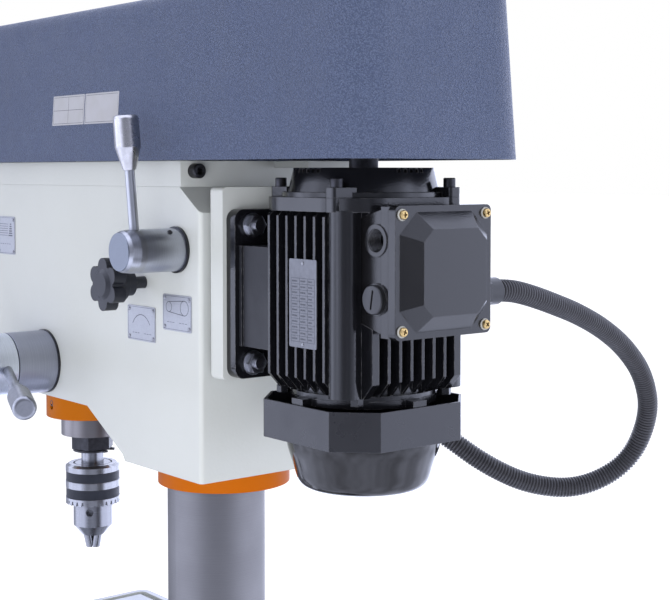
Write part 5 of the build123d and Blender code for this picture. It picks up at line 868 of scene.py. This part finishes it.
plug_rings = [(0, round_ring(11.5)), (3.2, round_ring(11.5)), (4, round_ring(10.7))]
plug_rings += [(4, slot_ring(15, 1.8)), (2.4, slot_ring(15, 1.8))]
plug = shaped("entry_plug", plug_rings, facing(*PLUG_SEAT, (1, 0, 0), math.radians(80)))
fix(plug, black_moulding, "motor_carriage")
THREAD_R = 8.95
THREAD_PITCH = 1.6


def entry_thread(name, turns, depth, place):
    """The thread of the open entry: a sleeve on the bore's wall, with a ridge for each turn."""
    profile = [(0, THREAD_R)]
    for turn in range(turns):
        start = -turn * THREAD_PITCH
        profile += [(start - 0.2, THREAD_R - 0.1), (start - THREAD_PITCH / 2, THREAD_R - depth)]
    profile += [(-turns * THREAD_PITCH, THREAD_R - 0.1), (-turns * THREAD_PITCH, THREAD_R)]
    mesh = bmesh.new()
    rows = []
    for k in range(TURN_STEPS):
        angle = 2 * math.pi * k / TURN_STEPS
        x, y = math.cos(angle), math.sin(angle)
        rows.append([mesh.verts.new(Vector((r * x, r * y, height)) * MM) for height, r in profile])
    for row, after in zip(rows, rows[1:] + rows[:1]):
        for k in range(len(profile)):
            mesh.faces.new((row[k - 1], row[k], after[k], after[k - 1]))
    return solid(name, mesh, place)


thread = entry_thread("entry_thread", 8, 0.9, facing(*THREAD_MOUTH, (1, 0, 0)))
fix(thread, box_black, "motor_carriage")


# Conduit: a ribbed black plastic hose that carries the motor's leads from the terminal box to the switch.
# It leaves its gland to the side, loops down in a free bend and comes back behind the motor.
CONDUIT_R = 9.4
RIB_DEPTH = 1.5
RIB_COUNT = 222
CONDUIT_ROUTE = (
    (-0.079, 0.289, 0.773), (-0.095, 0.289, 0.773), (-0.125, 0.288, 0.766), (-0.155, 0.286, 0.757),
    (-0.187, 0.283, 0.747), (-0.227, 0.278, 0.731), (-0.268, 0.271, 0.709), (-0.305, 0.263, 0.679),
    (-0.331, 0.250, 0.638), (-0.326, 0.230, 0.589), (-0.284, 0.206, 0.565), (-0.237, 0.183, 0.571),
    (-0.197, 0.162, 0.593), (-0.167, 0.139, 0.621), (-0.140, 0.108, 0.646), (-0.118, 0.069, 0.665),
    (-0.118, 0.046, 0.665), (-0.118, 0.022, 0.665),
)
line = bpy.data.curves.new("conduit_line", "CURVE")
line.dimensions = "3D"
line.resolution_u = 120
route = line.splines.new("NURBS")
route.points.add(len(CONDUIT_ROUTE) - 1)
for point, spot in zip(route.points, CONDUIT_ROUTE):
    point.co = (*spot, 1)
route.order_u = 3
route.use_endpoint_u = True
line_object = bpy.data.objects.new("conduit_line", line)
bpy.context.collection.objects.link(line_object)
bpy.context.view_layer.update()
drawn = bpy.data.meshes.new_from_object(line_object)
path = [vertex.co.copy() for vertex in drawn.vertices]
bpy.data.objects.remove(line_object)


def ribbed_hose(name, path, radius, depth, ribs, sides=28):
    """A hose along a drawn line, with round ribs and narrow valleys between them."""
    run = [0.0]
    for before, after in zip(path, path[1:]):
        run.append(run[-1] + (after - before).length)
    mesh = bmesh.new()
    across = Vector((0, 0, 1))
    loops = []
    for k, point in enumerate(path):
        ahead = (path[min(k + 1, len(path) - 1)] - path[max(k - 1, 0)]).normalized()
        across = (across - ahead * across.dot(ahead)).normalized()
        beside = ahead.cross(across)
        phase = 2 * math.pi * ribs * run[k] / run[-1]
        swell = 1 - (0.5 + 0.5 * math.cos(phase)) ** 2
        reach = (radius - depth * (1 - swell)) * MM
        angles = [2 * math.pi * side / sides for side in range(sides)]
        ring = [across * math.cos(angle) + beside * math.sin(angle) for angle in angles]
        loops.append([mesh.verts.new(point + out * reach) for out in ring])
    for low, high in zip(loops, loops[1:]):
        for side in range(sides):
            mesh.faces.new((low[side - 1], low[side], high[side], high[side - 1]))
    mesh.faces.new(loops[0][::-1])
    mesh.faces.new(loops[-1])
    return solid(name, mesh, Matrix.Identity(4)), run[-1]


hose, hose_length = ribbed_hose("ribbed_conduit", path, CONDUIT_R, RIB_DEPTH, RIB_COUNT)
hose_black = moulded("hose_black", (0.034, 0.034, 0.042, 1), 0.3, 1200, 0.00001, 0.3)
fix(hose, hose_black, "motor_carriage")
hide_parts("conduit")


# Switch: a moulded box on the head's left side, with a green start button and a larger red stop button.
# The conduit slides in a loose gland at its rear.
dress(black_moulding, "switch_box", "switch_gland")
dress(moulded("start_green", (0.03, 0.3, 0.09, 1), 0.3), "start_button")
dress(moulded("stop_red", (0.5, 0.02, 0.02, 1), 0.3), "stop_button")


# Studio: a white floor, a white surround and four large soft lamps, seen from the machine's rear right.
# The floor is whitest far out, so near the machine it keeps the shadow. Glossy finishes mirror a room that
# is dim behind the viewer, bright all round and below, and uneven.
def white_floor():
    made, tree, surface = new_finish("white_floor")
    speck = ramp(tree, noise(tree, own_place(tree), 3, 2), 0.3, 0.7, 0.92, 0.94)
    tone = add(tree, "ShaderNodeCombineColor", {"Red": speck, "Green": speck, "Blue": speck}).outputs[0]
    tree.links.new(tone, surface.inputs["Base Color"])
    surface.inputs["Roughness"].default_value = 0.8
    rays = add(tree, "ShaderNodeLightPath", {}).outputs
    far = add(tree, "ShaderNodeVectorMath", {0: own_place(tree)}, operation="LENGTH").outputs["Value"]
    seen = product(tree, rays["Is Camera Ray"], ramp(tree, far, 0.5, 1.5, 0.23, 0.55))
    bounced = product(tree, rays["Is Diffuse Ray"], 0.3)
    tree.links.new(calc(tree, "ADD", seen, bounced), surface.inputs["Emission Strength"])
    surface.inputs["Emission Color"].default_value = (1, 1, 1, 1)
    return made


ground = bmesh.new()
bmesh.ops.create_grid(ground, x_segments=1, y_segments=1, size=40)
floor = solid("studio_floor", ground, Matrix.Identity(4))
floor.data.materials.append(white_floor())
floor.visible_glossy = False

scene = bpy.context.scene
scene.view_settings.view_transform = "Standard"
surround = bpy.data.worlds.new("surround")
surround.use_nodes = True
scene.world = surround
sky = surround.node_tree
sky.nodes.clear()
toward = add(sky, "ShaderNodeTexCoord", {}).outputs["Generated"]
ROOM_SIDE = (0.5, 0.78, 0.1)
walls = ramp(sky, dot(sky, toward, ROOM_SIDE), 0.45, 0.85, 2.2, 0.42)
far_end = ramp(sky, axes(sky, toward)["Y"], -0.82, -0.92, 1, 0.32)
below = ramp(sky, axes(sky, toward)["Z"], -0.25, -0.6)
room = add(sky, "ShaderNodeMix", {"Factor": below, 2: product(sky, walls, far_end), 3: 1.7}).outputs[0]
things = ramp(sky, noise(sky, toward, 3.2, 2), 0.35, 0.65, 0.7, 1.3)
mirrored = product(sky, room, things)
rays = add(sky, "ShaderNodeLightPath", {}).outputs
shown = calc(sky, "MAXIMUM", rays["Is Glossy Ray"], rays["Is Transmission Ray"])
bounced = add(sky, "ShaderNodeMix", {"Factor": shown, 2: 0.5, 3: mirrored}).outputs[0]
level = add(sky, "ShaderNodeMix", {"Factor": rays["Is Camera Ray"], 2: bounced, 3: 1.0}).outputs[0]
tint = mixed(sky, shown, (1, 1, 1, 1), (0.87, 0.93, 1.18, 1))
back = add(sky, "ShaderNodeBackground", {"Color": tint, "Strength": level}).outputs[0]
add(sky, "ShaderNodeOutputWorld", {"Surface": back})


def soft_lamp(name, spot, aim, size, power):
    lamp = bpy.data.lights.new(name, "AREA")
    lamp.shape = "RECTANGLE"
    lamp.size, lamp.size_y = size
    lamp.energy = power
    made = bpy.data.objects.new(name, lamp)
    made.location = spot
    made.rotation_euler = (Vector(aim) - Vector(spot)).to_track_quat("-Z", "Y").to_euler()
    made.visible_glossy = False
    bpy.context.collection.objects.link(made)


soft_lamp("right_lamp", (-1.5, 2.3, 1.5), (0, 0.1, 0.75), (1.6, 1.8), 17)
soft_lamp("left_lamp", (2.5, 0.3, 1.5), (0, 0.1, 0.8), (1.6, 1.8), 6)
soft_lamp("fill_lamp", (1.8, 1.85, 0.45), (0, 0.05, 0.78), (2, 1.6), 43)
soft_lamp("top_lamp", (0.5, 0.4, 3.2), (0, 0, 0.8), (2.2, 2.2), 14)

VIEW_LENS = 75.0
VIEW_TILT = math.radians(2.8)
eye = bpy.data.cameras.new("eye")
eye.lens = VIEW_LENS
eye.sensor_width = 36
eye.shift_y = -0.0891
camera = bpy.data.objects.new("eye", eye)
camera.location = (0.7406, 1.09, 0.87)
gaze = Vector((-0.6307 * math.cos(VIEW_TILT), -0.776 * math.cos(VIEW_TILT), -math.sin(VIEW_TILT)))
camera.rotation_euler = gaze.to_track_quat("-Z", "Y").to_euler()
bpy.context.collection.objects.link(camera)
scene.camera = camera
